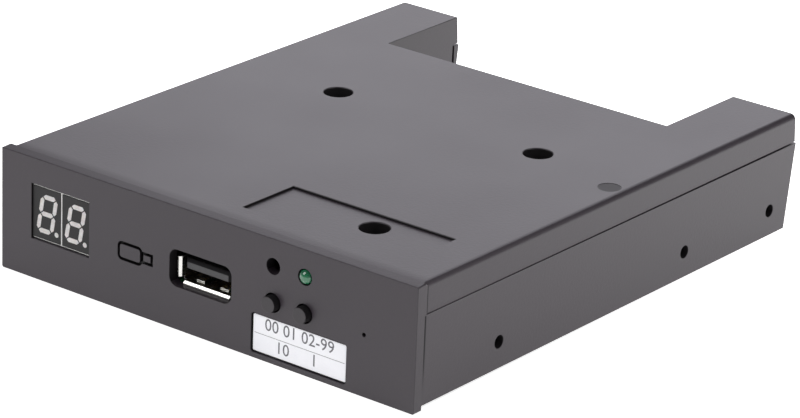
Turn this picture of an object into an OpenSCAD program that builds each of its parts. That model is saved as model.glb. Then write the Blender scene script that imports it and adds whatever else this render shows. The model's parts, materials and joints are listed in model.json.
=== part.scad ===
// Floppy drive emulator for a 3.5-inch bay: a USB socket, two digits and two buttons in place of a disk slot.
// Millimetres. Inside the modules y runs back from the front face and z up from the bezel's lower edge.

/* [Front bezel] */
// Width of the bezel
bezel_w = 101.6; // [100:0.1:106]
// Height of the bezel
bezel_h = 25; // [24.5:0.1:28]
// Thickness of the bezel
bezel_t = 2.2; // [2:0.1:3.6]
// Radius along the bezel's top front edge
bezel_top_r = 0.2; // [0.2:0.1:2]
// How far the bezel's top falls towards its front edge
bezel_top_fall = 0.2; // [0:0.05:0.6]
// Radius of the bezel's corners, seen from the front
bezel_corner_r = 0.4; // [0.2:0.1:1.2]
// How far the bezel hangs below the tray
bezel_drop = 0.8; // [0.4:0.1:1.8]
// Gap between the bezel's back and the case
bezel_gap = 0.1; // [0.05:0.05:0.5]
// How far the bezel's sides reach back round the cover
bezel_wrap = 0.45; // [0.2:0.05:1.2]

/* [Case] */
// Depth from the front face to the rear edge of the cover
case_d = 123; // [118:0.5:140]
// How far the bezel stands out past each side of the cover
bezel_over = 0.5; // [0.3:0.1:1.6]
// How far the cover's top lies below the bezel's
cover_drop = 0.2; // [0:0.05:0.5]
// Height of the parting line above the bezel's lower edge
seam_z = 18.6; // [17:0.1:20]
// Thickness of the cover's roof
roof_t = 2; // [1.6:0.1:3]
// Radius along the cover's two long top edges
cover_edge_r = 1.2; // [0.4:0.1:2]
// How far the cover's top falls towards its front edge
cover_front_fall = 0.14; // [0.02:0.02:0.4]
// Length over which it falls
cover_front_run = 2.8; // [1:0.2:6]
// How far the cover's rear faces flare out from the top to the parting line
cover_flare = 0.5; // [0.1:0.1:1]
// How far the tray's sides stand out past the cover's
tray_proud = 0.15; // [0.05:0.05:0.8]
// How far the tray's legs reach back past the cover's
tray_back = 0.7; // [0.2:0.1:1.2]
// Thickness of the tray's walls
wall_t = 2; // [1.6:0.1:3]
// Thickness of the tray's floor
floor_t = 2; // [1.6:0.1:2.6]
// How far the legs' rear faces lean in from the parting line to the underside
rear_lean = 2.4; // [0:0.1:4]
// Open gap of the parting line at the rear
seam = 0.35; // [0.2:0.05:0.6]
// Open gap of the parting line at the front
seam_front = 0.05; // [0.05:0.05:0.3]
// Depth of the cover's locating lip inside the tray
lip_h = 2; // [1:0.1:3]
// Thickness of the locating lip
lip_t = 1; // [0.6:0.1:1.6]
// Clearance between the lip and the tray's wall
lip_clear = 0.2; // [0.1:0.05:0.5]

/* [Rear notch] */
// Wall left between the headers' opening and each leg
notch_side = 1.6; // [1:0.01:4]
// Depth of the notch
notch_d = 23.6; // [14:0.1:26]
// How far the cover's flaps hang below the parting line along the legs' inner sides
flap_h = 6; // [3:0.5:8]
// Thickness of the flaps
flap_t = 1.4; // [1:0.1:1.6]
// Rear edge of the flaps to the rear edge of the cover
flap_back = 1.3; // [1:0.1:3]
// Gap between the flaps' ends and the tray
flap_gap = 0.35; // [0.3:0.05:1]

/* [Mounting holes] */
// Diameter of the bay screw holes
mount_d = 2.6; // [2.4:0.1:3.4]
// Height of the side holes above the underside
side_hole_z = 5.4; // [4.4:0.1:6]
// Front face to the first side hole
side_hole_y = 25.5; // [20:0.5:32]
// Third side hole to the rear edge of the cover
side_hole_rear = 7.5; // [6:0.1:10]
// Second side hole's place between the first and the third, in thirds
side_hole_thirds = 2; // [1.8:0.1:2.2]
// Bottom holes to the tray's sides
bottom_hole_in = 2.825; // [2.6:0.005:6]
// Bottom holes in from the first and the third side hole
bottom_hole_back = 10; // [8:0.5:14]
// Length of the side bosses inside the wall
side_boss_len = 4; // [2:0.1:5]
// Diameter of the side bosses
side_boss_d = 6.8; // [6:0.1:8]
// Height of the bottom bosses above the floor
bottom_boss_h = 3; // [1:0.1:3.6]

/* [Case screws and wells] */
// Diameter of the wells in the cover
well_d = 5.8; // [5.4:0.1:8]
// Wall of the wells below the roof
well_wall = 1.3; // [0.8:0.1:2]
// Thickness of the wells' floors
well_floor_t = 2; // [1.2:0.1:3]
// Chamfer round the mouth of each well
well_chamfer = 0.15; // [0.1:0.05:0.6]
// Front face to the two rear screws
rear_screw_y = 69; // [66:0.5:72]
// Left rear screw from the middle
rear_screw_left_x = 23.9; // [22:0.1:28]
// Right rear screw from the middle
rear_screw_right_x = 26; // [22:0.1:28]
// Front face to the front screw
front_screw_y = 17.8; // [16:0.1:18.2]
// Front screw from the middle
front_screw_x = 26.5; // [24:0.1:30]
// Diameter of the screws' shanks
screw_d = 2.6; // [2.4:0.1:3.2]
// Diameter of the screws' heads
screw_head_d = 5; // [4.4:0.1:5.2]
// Height of the screws' heads
screw_head_h = 2.2; // [1.6:0.1:3]
// How far the screws reach into the tray's floor
screw_reach = 0.5; // [0:0.1:0.8]
// Gap between a screw and its post
screw_fit = 0.05; // [0.02:0.01:0.1]
// Gap between a screw and the holes it passes through
screw_clear = 0.2; // [0.1:0.05:0.4]
// Diameter of the tray's posts
post_d = 7.6; // [6:0.1:9]

/* [Top details] */
// Right edge of the label recess to the cover's right side
top_recess_edge = 8.8; // [6:0.1:12]
// Front edge of the label recess from the front face
top_recess_y = 8.2; // [6:0.1:10]
// Width of the label recess
top_recess_w = 38.6; // [30:0.1:42]
// Length of the label recess, front to back
top_recess_l = 14.7; // [13:0.1:18]
// Depth of the label recess
top_recess_depth = 0.45; // [0.3:0.05:1.2]
// Middle of the round gate mark to the cover's right side
gate_mark_edge = 3.65; // [3.4:0.05:8]
// Front face to the round gate mark
gate_mark_y = 63.9; // [50:0.1:80]
// Diameter of the round gate mark
gate_mark_d = 4.6; // [2:0.1:5]
// Depth of the round gate mark
gate_mark_depth = 0.05; // [0.05:0.01:0.3]

/* [Main board] */
// Height of the board above the tray's floor
board_lift = 4.6; // [4:0.1:5]
// Thickness of the circuit boards
board_t = 1.6; // [1:0.1:2]
// Clearance between the board's edges and the case
board_clear = 0.5; // [0.3:0.1:1]
// How far leads stick out below the board
lead_tail = 1.3; // [0.8:0.1:1.8]
// Gap round a lead in its board hole
lead_clear = 0.1; // [0.05:0.01:0.2]

/* [Display] */
// Middle of the two digits to the bezel's left side
display_edge = 15.2; // [14:0.1:18]
// Height of the digits' middle above the bezel's lower edge
display_z = 13.85; // [13:0.05:15]
// Width of one digit module
digit_w = 7.3; // [6.8:0.1:8]
// Height of a digit module
digit_h = 11; // [10.5:0.1:12]
// Depth of a digit module
digit_t = 6; // [5:0.1:6.6]
// How far the digits' faces lie behind the front face
digit_inset = 0.35; // [0.1:0.05:1]
// Clearance round the digits in their window
digit_clear = 0.15; // [0.1:0.05:0.3]
// Thickness of the dark face plates
face_t = 0.2; // [0.1:0.05:0.4]
// White rim left bare above, below and between the face plates
face_rim = 0.26; // [0.1:0.02:0.4]
// Height of the figure eight
glyph_h = 8; // [7:0.1:9]
// Width of the figure eight
glyph_w = 4.4; // [4:0.1:4.8]
// Width of a segment
segment_w = 0.95; // [0.7:0.05:1.2]
// Gap between the ends of two segments
segment_gap = 0.18; // [0.08:0.01:0.25]
// Slant of the figures in degrees
glyph_slant = 10; // [0:1:12]
// Diameter of the decimal points
point_d = 1; // [0.7:0.05:1.1]
// Decimal point from the middle of its module
point_x = 2.45; // [2.2:0.05:2.6]
// Room round a segment in its face plate
segment_clear = 0.02; // [0.01:0.01:0.05]
// Width of the display board
display_board_w = 19; // [17:0.1:20]
// Gap between the display board and the tray's floor
display_board_up = 2.85; // [2:0.05:3]
// Gap between the display board and the cover's roof
display_board_gap = 0.95; // [0.4:0.05:1.2]

/* [USB socket] */
// Middle of the socket, left of the centre line
usb_x = 0; // [-0.5:0.1:1]
// How far the socket's lips lie behind the front face
usb_inset = 1.5; // [0.8:0.1:1.8]
// Inside width of the shell
usb_w = 12.5; // [12:0.1:13]
// Inside height of the shell
usb_h = 5.12; // [5:0.02:5.4]
// Length of the shell
usb_len = 14; // [13:0.1:18]
// Thickness of the shell's sheet metal
usb_sheet = 0.3; // [0.2:0.05:0.4]
// Gap between the shell and the board
usb_lift = 0.25; // [0.2:0.05:0.6]
// How far the front lips flare out
usb_flare = 0.45; // [0.3:0.05:0.7]
// Length of the flared lips, front to back
usb_lip = 0.4; // [0.3:0.1:1]
// Depth of the relief cuts between the lips
usb_relief = 0.7; // [0.4:0.1:1]
// How far the socket's roof stays behind its lips
usb_roof_back = 2.2; // [1.6:0.1:3]
// Width of the slot in the bezel
usb_slot_w = 15.2; // [15:0.1:17]
// Height of the slot in the bezel
usb_slot_h = 7.4; // [7.2:0.1:9.2]
// Middle of the slot, left of the socket's middle
usb_slot_x = 0.2; // [0:0.1:0.4]
// Middle of the slot above the socket's middle
usb_slot_up = 0.3; // [0.2:0.1:0.3]
// Corner radius of the slot
usb_slot_r = 1.8; // [0.8:0.1:3]
// Width of the plastic tongue
tongue_w = 11.1; // [10.8:0.1:11.5]
// Thickness of the plastic tongue
tongue_t = 1.84; // [1.6:0.02:2]
// Gap between the tongue and the shell's roof
tongue_top_gap = 0.65; // [0.5:0.05:0.8]
// How far the tongue stays behind the lips
tongue_inset = 0.4; // [0.3:0.1:2]
// Height and depth of the slope on the tongue's upper front edge
tongue_slope = 0.65; // [0.4:0.05:1.2]
// Bevels of the tongue's two front corners
tongue_corner = 0.55; // [0.3:0.05:0.8]
// Thickness of the rear block that holds the contacts
usb_block_t = 3.5; // [3:0.1:5]

/* [Controls] */
// Middle of the first column of holes to the bezel's right side
control_edge = 33.5; // [31:0.1:35]
// Spacing of the two columns
control_pitch = 7.5; // [7:0.1:8]
// Diameter of the buttons
button_d = 3.2; // [2.8:0.1:3.4]
// How far the buttons stand out of the front face
button_proud = 1.4; // [0.8:0.1:2]
// Room round a button in the bezel
button_clear = 0.3; // [0.2:0.05:0.5]
// Push travel of a button
button_travel = 0.25; // [0.1:0.05:0.3]
// Width of a switch
switch_w = 6; // [5.6:0.1:6.6]
// Height of a switch
switch_h = 6.4; // [6:0.1:7]
// Depth of a switch's base
switch_t = 3.5; // [3.2:0.1:4.5]
// How far the LED sits above the middle between its switch and the roof
led_up = 0.3; // [-0.4:0.1:0.8]
// Diameter of the LED
led_d = 3; // [2.8:0.1:3.2]
// Length of the LED from its rim's back to its tip
led_len = 5.2; // [4.8:0.1:5.6]
// How far the LED stands out of the front face
led_proud = 0.7; // [0:0.1:1]
// Room round the LED in the bezel
led_clear = 0.1; // [0.1:0.05:0.3]

/* [Front label] */
// Width of the paper label
label_w = 22; // [18:0.1:24]
// Height of the paper label
label_h = 7.3; // [6:0.1:7.4]
// Middle of the label to the bezel's right side
label_edge = 27.15; // [24:0.05:30]
// Height of the label's middle above the bezel's lower edge
label_z = 5.05; // [4.8:0.05:5.4]
// Thickness of the paper
label_t = 0.12; // [0.08:0.02:0.2]
// Depth of the label's recess
label_recess = 0.5; // [0.2:0.1:0.8]
// Room round the label in its recess
label_clear = 0.3; // [0.1:0.05:0.5]

/* [Rear connectors] */
// Pin pitch of the drive and jumper headers
pin_pitch = 2.54; // [2.3:0.01:2.56]
// Thickness of the square pins
pin_t = 0.64; // [0.5:0.01:0.7]
// Length of the pins behind their bases
pin_len = 6; // [5:0.1:8]
// Depth of the headers' plastic bases
header_t = 2.5; // [2:0.1:3]
// Gap between two headers
header_gap = 1.2; // [0.5:0.1:1.6]
// Columns of the drive header
drive_cols = 17; // [15:1:17]
// Columns of the jumper header
jumper_cols = 4; // [2:1:4]
// Column of the jumper header that holds the jumper cap
jumper_col = 1; // [0:1:1]
// Pin pitch of the power header
power_pitch = 2.5; // [2.3:0.01:2.6]
// Pins of the power header
power_pins = 4; // [2:1:4]
// Room round a pin in its plastic base
pin_clear = 0.03; // [0.02:0.01:0.05]
// Room round a pin in the jumper cap
cap_clear = 0.12; // [0.1:0.01:0.2]
// Length of the jumper cap
cap_len = 7; // [6.8:0.1:9]

/* [Hidden] */
$fn = 48;
// Cutters reach this far past the faces they cut
past = 1;

// Case
bezel_right = bezel_w / 2;
cover_w = bezel_w - 2 * bezel_over;
tray_w = cover_w + 2 * tray_proud;
cover_top = bezel_h - cover_drop;
rear_y = case_d + tray_back;
mid_y = (rear_y - button_proud) / 2;
front_y = bezel_t + bezel_gap;
notch_y = case_d - notch_d;
tray_z = bezel_drop;
floor_z = tray_z + floor_t;
tray_top = seam_z - seam_front;
skirt_rear_z = tray_top + seam;
roof_z = cover_top - roof_t;
flap_z = seam_z - flap_h;
lip_out = wall_t - tray_proud + lip_clear;
skirt_t = lip_out + lip_t;
lip_z = tray_top - lip_h;
side_z = tray_z + side_hole_z;
side_row = case_d - side_hole_rear - side_hole_y;
side_holes_y = [side_hole_y, side_hole_y + side_row * side_hole_thirds / 3, side_hole_y + side_row];
bottom_hole_x = tray_w / 2 - bottom_hole_in;
bottom_holes_y = [side_holes_y[0] + bottom_hole_back, side_holes_y[2] - bottom_hole_back];
bottom_boss_wall = 1.9;
bottom_boss_half = mount_d / 2 + bottom_boss_wall;
screws = [[-rear_screw_left_x, rear_screw_y], [rear_screw_right_x, rear_screw_y],
    [front_screw_x, front_screw_y]];
rest_post_back = 2.6;
rest_post = [-front_screw_x, front_screw_y + rest_post_back];
screw_end_gap = 0.3;
top_recess_right = cover_w / 2 - top_recess_edge;

// Bezel arms that hook into the tray's floor, and tabs that slide under the cover's roof
arm_x = 30;
arm_w = 10;
arm_t = 1.2;
arm_len = 7;
arm_clear = 0.3;
hook_len = 2;
hook_drop = 1.3;
tab_x = 10;
tab_w = 8;
tab_t = 1.4;
tab_len = 4;

// Boards
board_z = floor_z + board_lift;
board_top = board_z + board_t;
board_half = tray_w / 2 - wall_t - side_boss_len - board_clear;
board_front = bezel_t + board_clear;
wall_in_y = notch_y + tray_proud - wall_t;
board_rear = wall_in_y - board_clear;
pin_across = pin_t * sqrt(2);
bend_out = 1.2;

// Chips with two rows of leads
chip_w = 3.9;
chip_h = 1.5;
chip_lead_t = 0.15;
chip_lead_w = 0.42;
chip_lead_pitch = 1.27;
chip_lead_reach = 1.05;

// Display
display_x = bezel_right - display_edge;
digit_back = digit_inset + digit_t;
window_w = 2 * digit_w + 2 * digit_clear;
window_h = digit_h + 2 * digit_clear;
display_back = digit_back + board_t;
digit_pin_d = 0.5;
digit_pin_pitch = 1.27;
digit_pin_edge = 0.6;
digit_pin_rows = digit_h / 2 - digit_pin_edge;
driver_l = 9.9;
driver_gap = 0.2;
driver_z = board_top + pin_pitch + driver_gap + chip_w / 2 + chip_lead_reach;
display_pin_count = 4;
display_pin_z = board_top + pin_pitch / 2;
display_bend_y = display_back + header_t + bend_out;
display_cut_x = -display_x + display_board_w / 2 + board_clear;
display_cut_y = display_back + board_clear;

// USB socket
usb_z = board_top + usb_lift + usb_sheet + usb_h / 2;
usb_rear = usb_inset + usb_len;
usb_lip_half_w = usb_w / 2 - 0.6;
usb_lip_half_h = usb_h / 2 - 0.5;
tongue_top = usb_z + usb_h / 2 - tongue_top_gap;
tongue_z = tongue_top - tongue_t;
contact_w = 1;
contact_t = 0.2;
contact_x = [-3.5, -1, 1, 3.5];
contact_bend_y = usb_rear + 0.4;
usb_fit = 0.1;
usb_tab_y = usb_inset + 5.5;
usb_tab_w = 1.2;
usb_tab_across = usb_tab_w + 2 * lead_clear;
finger_root = 7.4;
finger_w = 2;
finger_tip = 1.9;
finger_tip_up = 0.22;
finger_crest = 2.95;
finger_rise = 0.6;

// Controls
label_x = bezel_right - label_edge;
control_z = board_top + switch_h / 2;
led_z = (board_top + switch_h + roof_z) / 2 + led_up;
columns = [bezel_right - control_edge, bezel_right - control_edge + control_pitch];
switch_gap = 1.3;
switch_y = bezel_t + switch_gap;
frame_t = 0.3;
base_y = switch_y + frame_t;
cavity_wall = 0.6;
cavity_d = switch_w - 2 * cavity_wall;
cavity_t = 1.7;
flange_room = 0.3;
flange_d = cavity_d - 2 * flange_room;
flange_t = 0.7;
flange_play = 0.05;
flange_y = base_y + flange_play;
dome_gap = 0.05;
dome_h = cavity_t - flange_play - flange_t - button_travel - dome_gap;
led_rim_t = 1;
led_rim_d = led_d + 0.8;
led_back = led_len - led_proud;
led_bend_gap = 1.8;
led_bend_y = base_y + switch_t + led_bend_gap;
lead_t = 0.5;
led_lead_x = 1.27;
switch_leg_w = 0.7;
switch_leg_t = 0.3;
switch_leg_edge = 0.75;

// Rear connectors, side by side with the drive header in the middle
drive_w = drive_cols * pin_pitch;
jumper_w = jumper_cols * pin_pitch;
power_end = 1.45;
power_w = (power_pins - 1) * power_pitch + 2 * power_end;
jumper_x = drive_w / 2 + header_gap + jumper_w / 2;
power_x = -(drive_w / 2 + header_gap + power_w / 2);
header_y = board_rear - header_t;
row_z = [board_top + pin_pitch / 2, board_top + 3 * pin_pitch / 2];
bend_y = [header_y - bend_out, header_y - bend_out - pin_pitch];
power_h = 6.2;
power_shelf_t = 1.2;
power_shelf_len = 7;
power_pin_h = 3.4;
power_pin_z = board_top + power_pin_h;
opening_clear = 0.4;
opening_x0 = power_x - power_w / 2 - opening_clear;
opening_x1 = jumper_x + jumper_w / 2 + opening_clear;
notch_w = 2 * (max(-opening_x0, opening_x1) + notch_side);
cap_w = pin_pitch - 0.2;
cap_h = 2 * pin_pitch - 0.1;
cap_gap = 0.3;
cap_end_t = 0.6;

// Places of the parts on the main board, as x and y
controller_at = [0, 46];
controller_size = 10;
crystal_at = [-17, 42];
regulator_at = [board_half - 9.9, 42];
regulator_l = 6.5;
regulator_w = 3.5;
capacitors_at = [[board_half - 10.9, 52], [board_half - 7.9, 26]];
resistor_gap = 6.6;
resistor_y = bend_y[1] - resistor_gap;
buffer_gap = 9;
buffers_at = [[-9, resistor_y - buffer_gap], [10, resistor_y - buffer_gap]];
buffer_l = 8.7;
resistor_count = 14;
resistor_pitch = 2.8;
resistor_size = [1.25, 2, 0.55];
ceramics_at = [[-9, 38], [9, 38], [-9, 54], [9, 54], [25, 36], [25, 47], [-24, 30], [14, 30]];
ceramic_size = [2, 1.25, 0.8];
capacitor_base_t = 1.3;
capacitor_d = 6.3;
capacitor_h = 6.4;

// Shared shapes

// Shifts the part so that its origin lies in the middle of its footprint
module in_frame() {
    translate([0, -mid_y, 0]) children();
}

// Extrudes a flat y-z outline from x0 to x1
module along_x(x0, x1) {
    translate([x0, 0, 0]) rotate([90, 0, 90]) linear_extrude(x1 - x0) children();
}

// Extrudes a flat x-z outline from y0 to y1
module along_y(y0, y1) {
    translate([0, y1, 0]) rotate([90, 0, 0]) linear_extrude(y1 - y0) children();
}

// Extrudes a flat x-y outline from z0 to z1
module along_z(z0, z1) {
    translate([0, 0, z0]) linear_extrude(z1 - z0) children();
}

// Box between two corners
module block(low, high) {
    translate(low) cube(high - low);
}

// Place of one item in a row spread evenly about the middle
function in_row(index, count, pitch) = (index - (count - 1) / 2) * pitch;

// Round bar along y
module rod_y(x, z, y0, y1, d) {
    translate([x, y0, z]) rotate([-90, 0, 0]) cylinder(h = y1 - y0, d = d);
}

// Rectangle about the origin with round corners
module rounded_rect(w, h, r) {
    square([w - 2 * r, h], center = true);
    square([w, h - 2 * r], center = true);
    for (x = [r - w / 2, w / 2 - r], y = [r - h / 2, h / 2 - r]) {
        translate([x, y]) circle(r);
    }
}

// Plan of the case with its notch, grown by out at the sides and by back at the rear
module case_plan(out, front, back) {
    half = cover_w / 2 + out;
    inner = notch_w / 2 - out;
    translate([-half, front]) square([2 * half, notch_y + out - front]);
    for (side = [0, 1]) {
        mirror([side, 0]) translate([inner, front]) square([half - inner, case_d + back - front]);
    }
}

// Side outline of the tray, whose rear face leans in
module tray_outline() {
    polygon([[front_y, tray_z], [front_y, tray_top], [rear_y, tray_top], [rear_y - rear_lean, tray_z]]);
}

// Side outline of the cover: its lower edge rises a little towards the rear, its top falls towards the front
// and its rear face flares out
module cover_outline() {
    fall_z = cover_top - cover_front_fall;
    fall_y = front_y + cover_front_run;
    polygon([[front_y, seam_z], [front_y, fall_z],
        [front_y + cover_front_run / 2, cover_top - cover_front_fall / 4], [fall_y, cover_top],
        [fall_y + cover_front_run, bezel_h], [case_d, bezel_h], [case_d + cover_flare, skirt_rear_z]]);
}

// Side outline of the room inside the leaning rear face, moved in by inset
module lean_outline(inset) {
    rear = rear_y - inset;
    foot = rear - rear_lean;
    polygon([[0, 0], [0, bezel_h], [rear, bezel_h], [rear, tray_top], [foot, tray_z], [foot, 0]]);
}

// Case

module tray_posts() {
    for (at = screws) {
        translate([at.x, at.y, tray_z]) cylinder(h = board_z - tray_z, d = post_d);
    }
    translate([rest_post.x, rest_post.y, tray_z]) cylinder(h = board_z - tray_z, d = post_d);
}

module tray_bosses() {
    inside = tray_w / 2 - wall_t;
    for (side = [0, 1]) {
        mirror([side, 0, 0]) {
            for (y = side_holes_y) {
                translate([inside - side_boss_len, y, side_z]) rotate([0, 90, 0])
                    cylinder(h = side_boss_len + wall_t / 2, d = side_boss_d);
            }
            for (y = bottom_holes_y) {
                block([bottom_hole_x - bottom_boss_half, y - bottom_boss_half, tray_z],
                    [tray_w / 2 - wall_t / 2, y + bottom_boss_half, floor_z + bottom_boss_h]);
            }
        }
    }
}

module tray_holes() {
    for (side = [0, 1]) {
        mirror([side, 0, 0]) {
            for (y = side_holes_y) {
                translate([tray_w / 2 - wall_t - side_boss_len - past, y, side_z]) rotate([0, 90, 0])
                    cylinder(h = side_boss_len + wall_t + 2 * past, d = mount_d);
            }
            for (y = bottom_holes_y) {
                translate([bottom_hole_x, y, tray_z - past])
                    cylinder(h = floor_t + bottom_boss_h + 2 * past, d = mount_d);
            }
            block([arm_x - arm_w / 2 - arm_clear, front_y + arm_len - hook_len - arm_clear, tray_z - past],
                [arm_x + arm_w / 2 + arm_clear, front_y + arm_len + arm_clear, floor_z + past]);
        }
    }
    for (at = screws) {
        translate([at.x, at.y, floor_z - screw_reach - screw_end_gap])
            cylinder(h = board_lift + screw_reach + screw_end_gap + past, d = screw_d + 2 * screw_fit);
    }
}

// Room in the tray's walls for the cover's flaps
module flap_rooms() {
    inner = notch_w / 2 - tray_proud;
    for (side = [0, 1]) {
        mirror([side, 0, 0]) block([inner - past, notch_y + tray_proud, flap_z - seam],
            [inner + wall_t + past, case_d - flap_back + flap_gap, bezel_h]);
    }
}

module bottom_tray() {
    color([0.29, 0.28, 0.29]) difference() {
        union() {
            difference() {
                intersection() {
                    along_z(tray_z, bezel_h) case_plan(tray_proud, front_y, tray_back + past);
                    along_x(-bezel_w, bezel_w) tray_outline();
                }
                intersection() {
                    along_z(floor_z, bezel_h) case_plan(tray_proud - wall_t, 0, tray_back);
                    along_x(-bezel_w, bezel_w) lean_outline(wall_t);
                }
                block([opening_x0, wall_in_y - past, board_z - opening_clear],
                    [opening_x1, wall_in_y + wall_t + past, bezel_h]);
                flap_rooms();
            }
            tray_posts();
            tray_bosses();
        }
        tray_holes();
    }
}

module cover_flaps() {
    for (side = [0, 1]) {
        mirror([side, 0, 0]) block([notch_w / 2, notch_y + tray_proud + flap_gap, flap_z],
            [notch_w / 2 + flap_t, case_d - flap_back, seam_z + past]);
    }
}

module cover_wells() {
    for (at = screws) {
        translate([at.x, at.y, board_top])
            cylinder(h = roof_z + roof_t / 2 - board_top, d = well_d + 2 * well_wall);
    }
}

module well_bores() {
    for (at = screws) {
        translate([at.x, at.y, board_top + well_floor_t]) cylinder(h = bezel_h, d = well_d);
        translate([at.x, at.y, board_top - past]) cylinder(h = bezel_h, d = screw_d + 2 * screw_clear);
    }
    mouths = [cover_top, cover_top, cover_top - top_recess_depth];
    for (well = [0 : 2]) {
        translate([screws[well].x, screws[well].y, mouths[well] - well_chamfer])
            cylinder(h = 2 * well_chamfer, d1 = well_d, d2 = well_d + 4 * well_chamfer);
    }
}

module cover_section() {
    r = cover_edge_r;
    half = cover_w / 2;
    translate([-half, 0]) square([cover_w, cover_top - r]);
    translate([r - half, 0]) square([cover_w - 2 * r, cover_top]);
    for (x = [r - half, half - r]) {
        translate([x, cover_top - r]) circle(r);
    }
}

module top_cover() {
    color([0.33, 0.32, 0.34]) difference() {
        union() {
            difference() {
                union() {
                    intersection() {
                        along_z(tray_z, bezel_h) case_plan(0, front_y, cover_flare);
                        along_x(-bezel_w, bezel_w) cover_outline();
                        along_y(0, rear_y) cover_section();
                    }
                    intersection() {
                        along_z(lip_z, seam_z + past) case_plan(-lip_out, front_y, -lip_out);
                        along_x(-bezel_w, bezel_w) lean_outline(wall_t + lip_clear);
                    }
                }
                along_z(0, roof_z) case_plan(-skirt_t, 0, -skirt_t);
            }
            cover_wells();
            cover_flaps();
        }
        well_bores();
        block([top_recess_right - top_recess_w, top_recess_y, cover_top - top_recess_depth],
            [top_recess_right, top_recess_y + top_recess_l, bezel_h + past]);
        translate([cover_w / 2 - gate_mark_edge, gate_mark_y, cover_top - gate_mark_depth])
            cylinder(h = past, d = gate_mark_d);
    }
}

// Side outline of the bezel, its top falling to a round front edge
module bezel_side() {
    r = bezel_top_r;
    front_top = bezel_h - bezel_top_fall;
    polygon([[r, 0], [r, front_top], [bezel_t, bezel_h], [bezel_t, 0]]);
    square([bezel_t, front_top - r]);
    translate([r, front_top - r]) circle(r);
}

// Thin ears that hide the ends of the cover's joint
module bezel_ears() {
    for (side = [0, 1]) {
        mirror([side, 0, 0]) block([cover_w / 2 + bezel_gap, bezel_t / 2, tray_top + bezel_gap],
            [bezel_w / 2, bezel_t + bezel_wrap, bezel_h - bezel_corner_r]);
    }
}

module bezel_arms() {
    arm_z = floor_z + arm_clear;
    hook_y = front_y + arm_len - hook_len;
    for (side = [0, 1]) {
        mirror([side, 0, 0]) {
            block([arm_x - arm_w / 2, bezel_t / 2, arm_z],
                [arm_x + arm_w / 2, front_y + arm_len, arm_z + arm_t]);
            along_x(arm_x - arm_w / 2, arm_x + arm_w / 2) polygon([[hook_y, arm_z + arm_t / 2],
                [hook_y, arm_z - hook_drop], [hook_y + hook_len / 4, arm_z - hook_drop],
                [front_y + arm_len, arm_z], [front_y + arm_len, arm_z + arm_t / 2]]);
            block([tab_x - tab_w / 2, bezel_t / 2, roof_z - arm_clear - tab_t],
                [tab_x + tab_w / 2, front_y + tab_len, roof_z - arm_clear]);
        }
    }
}

// Plain outline of a memory stick, cut beside the socket
module stick_mark() {
    mark_line = 0.55;
    body_w = 6.2;
    body_h = 3.8;
    plug_w = 2.9;
    plug_h = 2.4;
    difference() {
        rounded_rect(body_w, body_h, 2 * mark_line);
        rounded_rect(body_w - 2 * mark_line, body_h - 2 * mark_line, mark_line);
    }
    translate([body_w / 2 + plug_w / 2 - mark_line / 2, 0]) difference() {
        square([plug_w, plug_h], center = true);
        square([plug_w - 2 * mark_line, plug_h - 2 * mark_line], center = true);
    }
}

module front_bezel() {
    mark_x = -17.7;
    mark_depth = 0.8;
    dimple_edge = 11.95;
    dimple_d = 0.8;
    dimple_depth = 1.6;
    color([0.33, 0.32, 0.33]) difference() {
        union() {
            intersection() {
                along_y(0, bezel_t) translate([0, bezel_h / 2])
                    rounded_rect(bezel_w, bezel_h, bezel_corner_r);
                along_x(-bezel_w / 2, bezel_w / 2) bezel_side();
            }
            bezel_ears();
            bezel_arms();
        }
        block([-display_x - window_w / 2, -past, display_z - window_h / 2],
            [-display_x + window_w / 2, bezel_t + past, display_z + window_h / 2]);
        along_y(-past, bezel_t + past) translate([-usb_x - usb_slot_x, usb_z + usb_slot_up])
            rounded_rect(usb_slot_w, usb_slot_h, usb_slot_r);
        for (x = columns) {
            rod_y(x, led_z, -past, bezel_t + past, led_d + 2 * led_clear);
            rod_y(x, control_z, -past, bezel_t + past, button_d + 2 * button_clear);
        }
        along_y(-past, label_recess) translate([label_x, label_z])
            rounded_rect(label_w + 2 * label_clear, label_h + 2 * label_clear, 2 * label_clear);
        along_y(-past, mark_depth) translate([mark_x, usb_z]) stick_mark();
        rod_y(bezel_right - dimple_edge, control_z, -past, dimple_depth, dimple_d);
    }
}

module front_label() {
    color("white") along_y(label_recess - label_t, label_recess) translate([label_x, label_z])
        rounded_rect(label_w, label_h, label_clear);
}

module case_screws() {
    slot_l = 0.55 * screw_head_d;
    slot_w = 0.7;
    slot_depth = 0.55 * screw_head_h;
    seat = board_top + well_floor_t;
    color("silver") for (at = screws) {
        translate([at.x, at.y, seat]) difference() {
            union() {
                cylinder(h = screw_head_h, d = screw_head_d);
                translate([0, 0, floor_z - screw_reach - seat])
                    cylinder(h = seat - floor_z + screw_reach + screw_head_h / 2, d = screw_d);
            }
            for (turn = [0, 90]) {
                rotate([0, 0, turn]) translate([-slot_l / 2, -slot_w / 2, screw_head_h - slot_depth])
                    cube([slot_l, slot_w, slot_depth + past]);
            }
        }
    }
}

// Circuit boards

// Drills one hole through the main board for a lead of the given width across its corners
module board_hole(x, y, across) {
    translate([x, y, board_z - past]) cylinder(h = board_t + 2 * past, d = across + 2 * lead_clear);
}

module header_holes(x, cols) {
    for (col = [0 : cols - 1], row = [0, 1]) {
        board_hole(x + in_row(col, cols, pin_pitch), bend_y[row], pin_across);
    }
}

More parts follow.
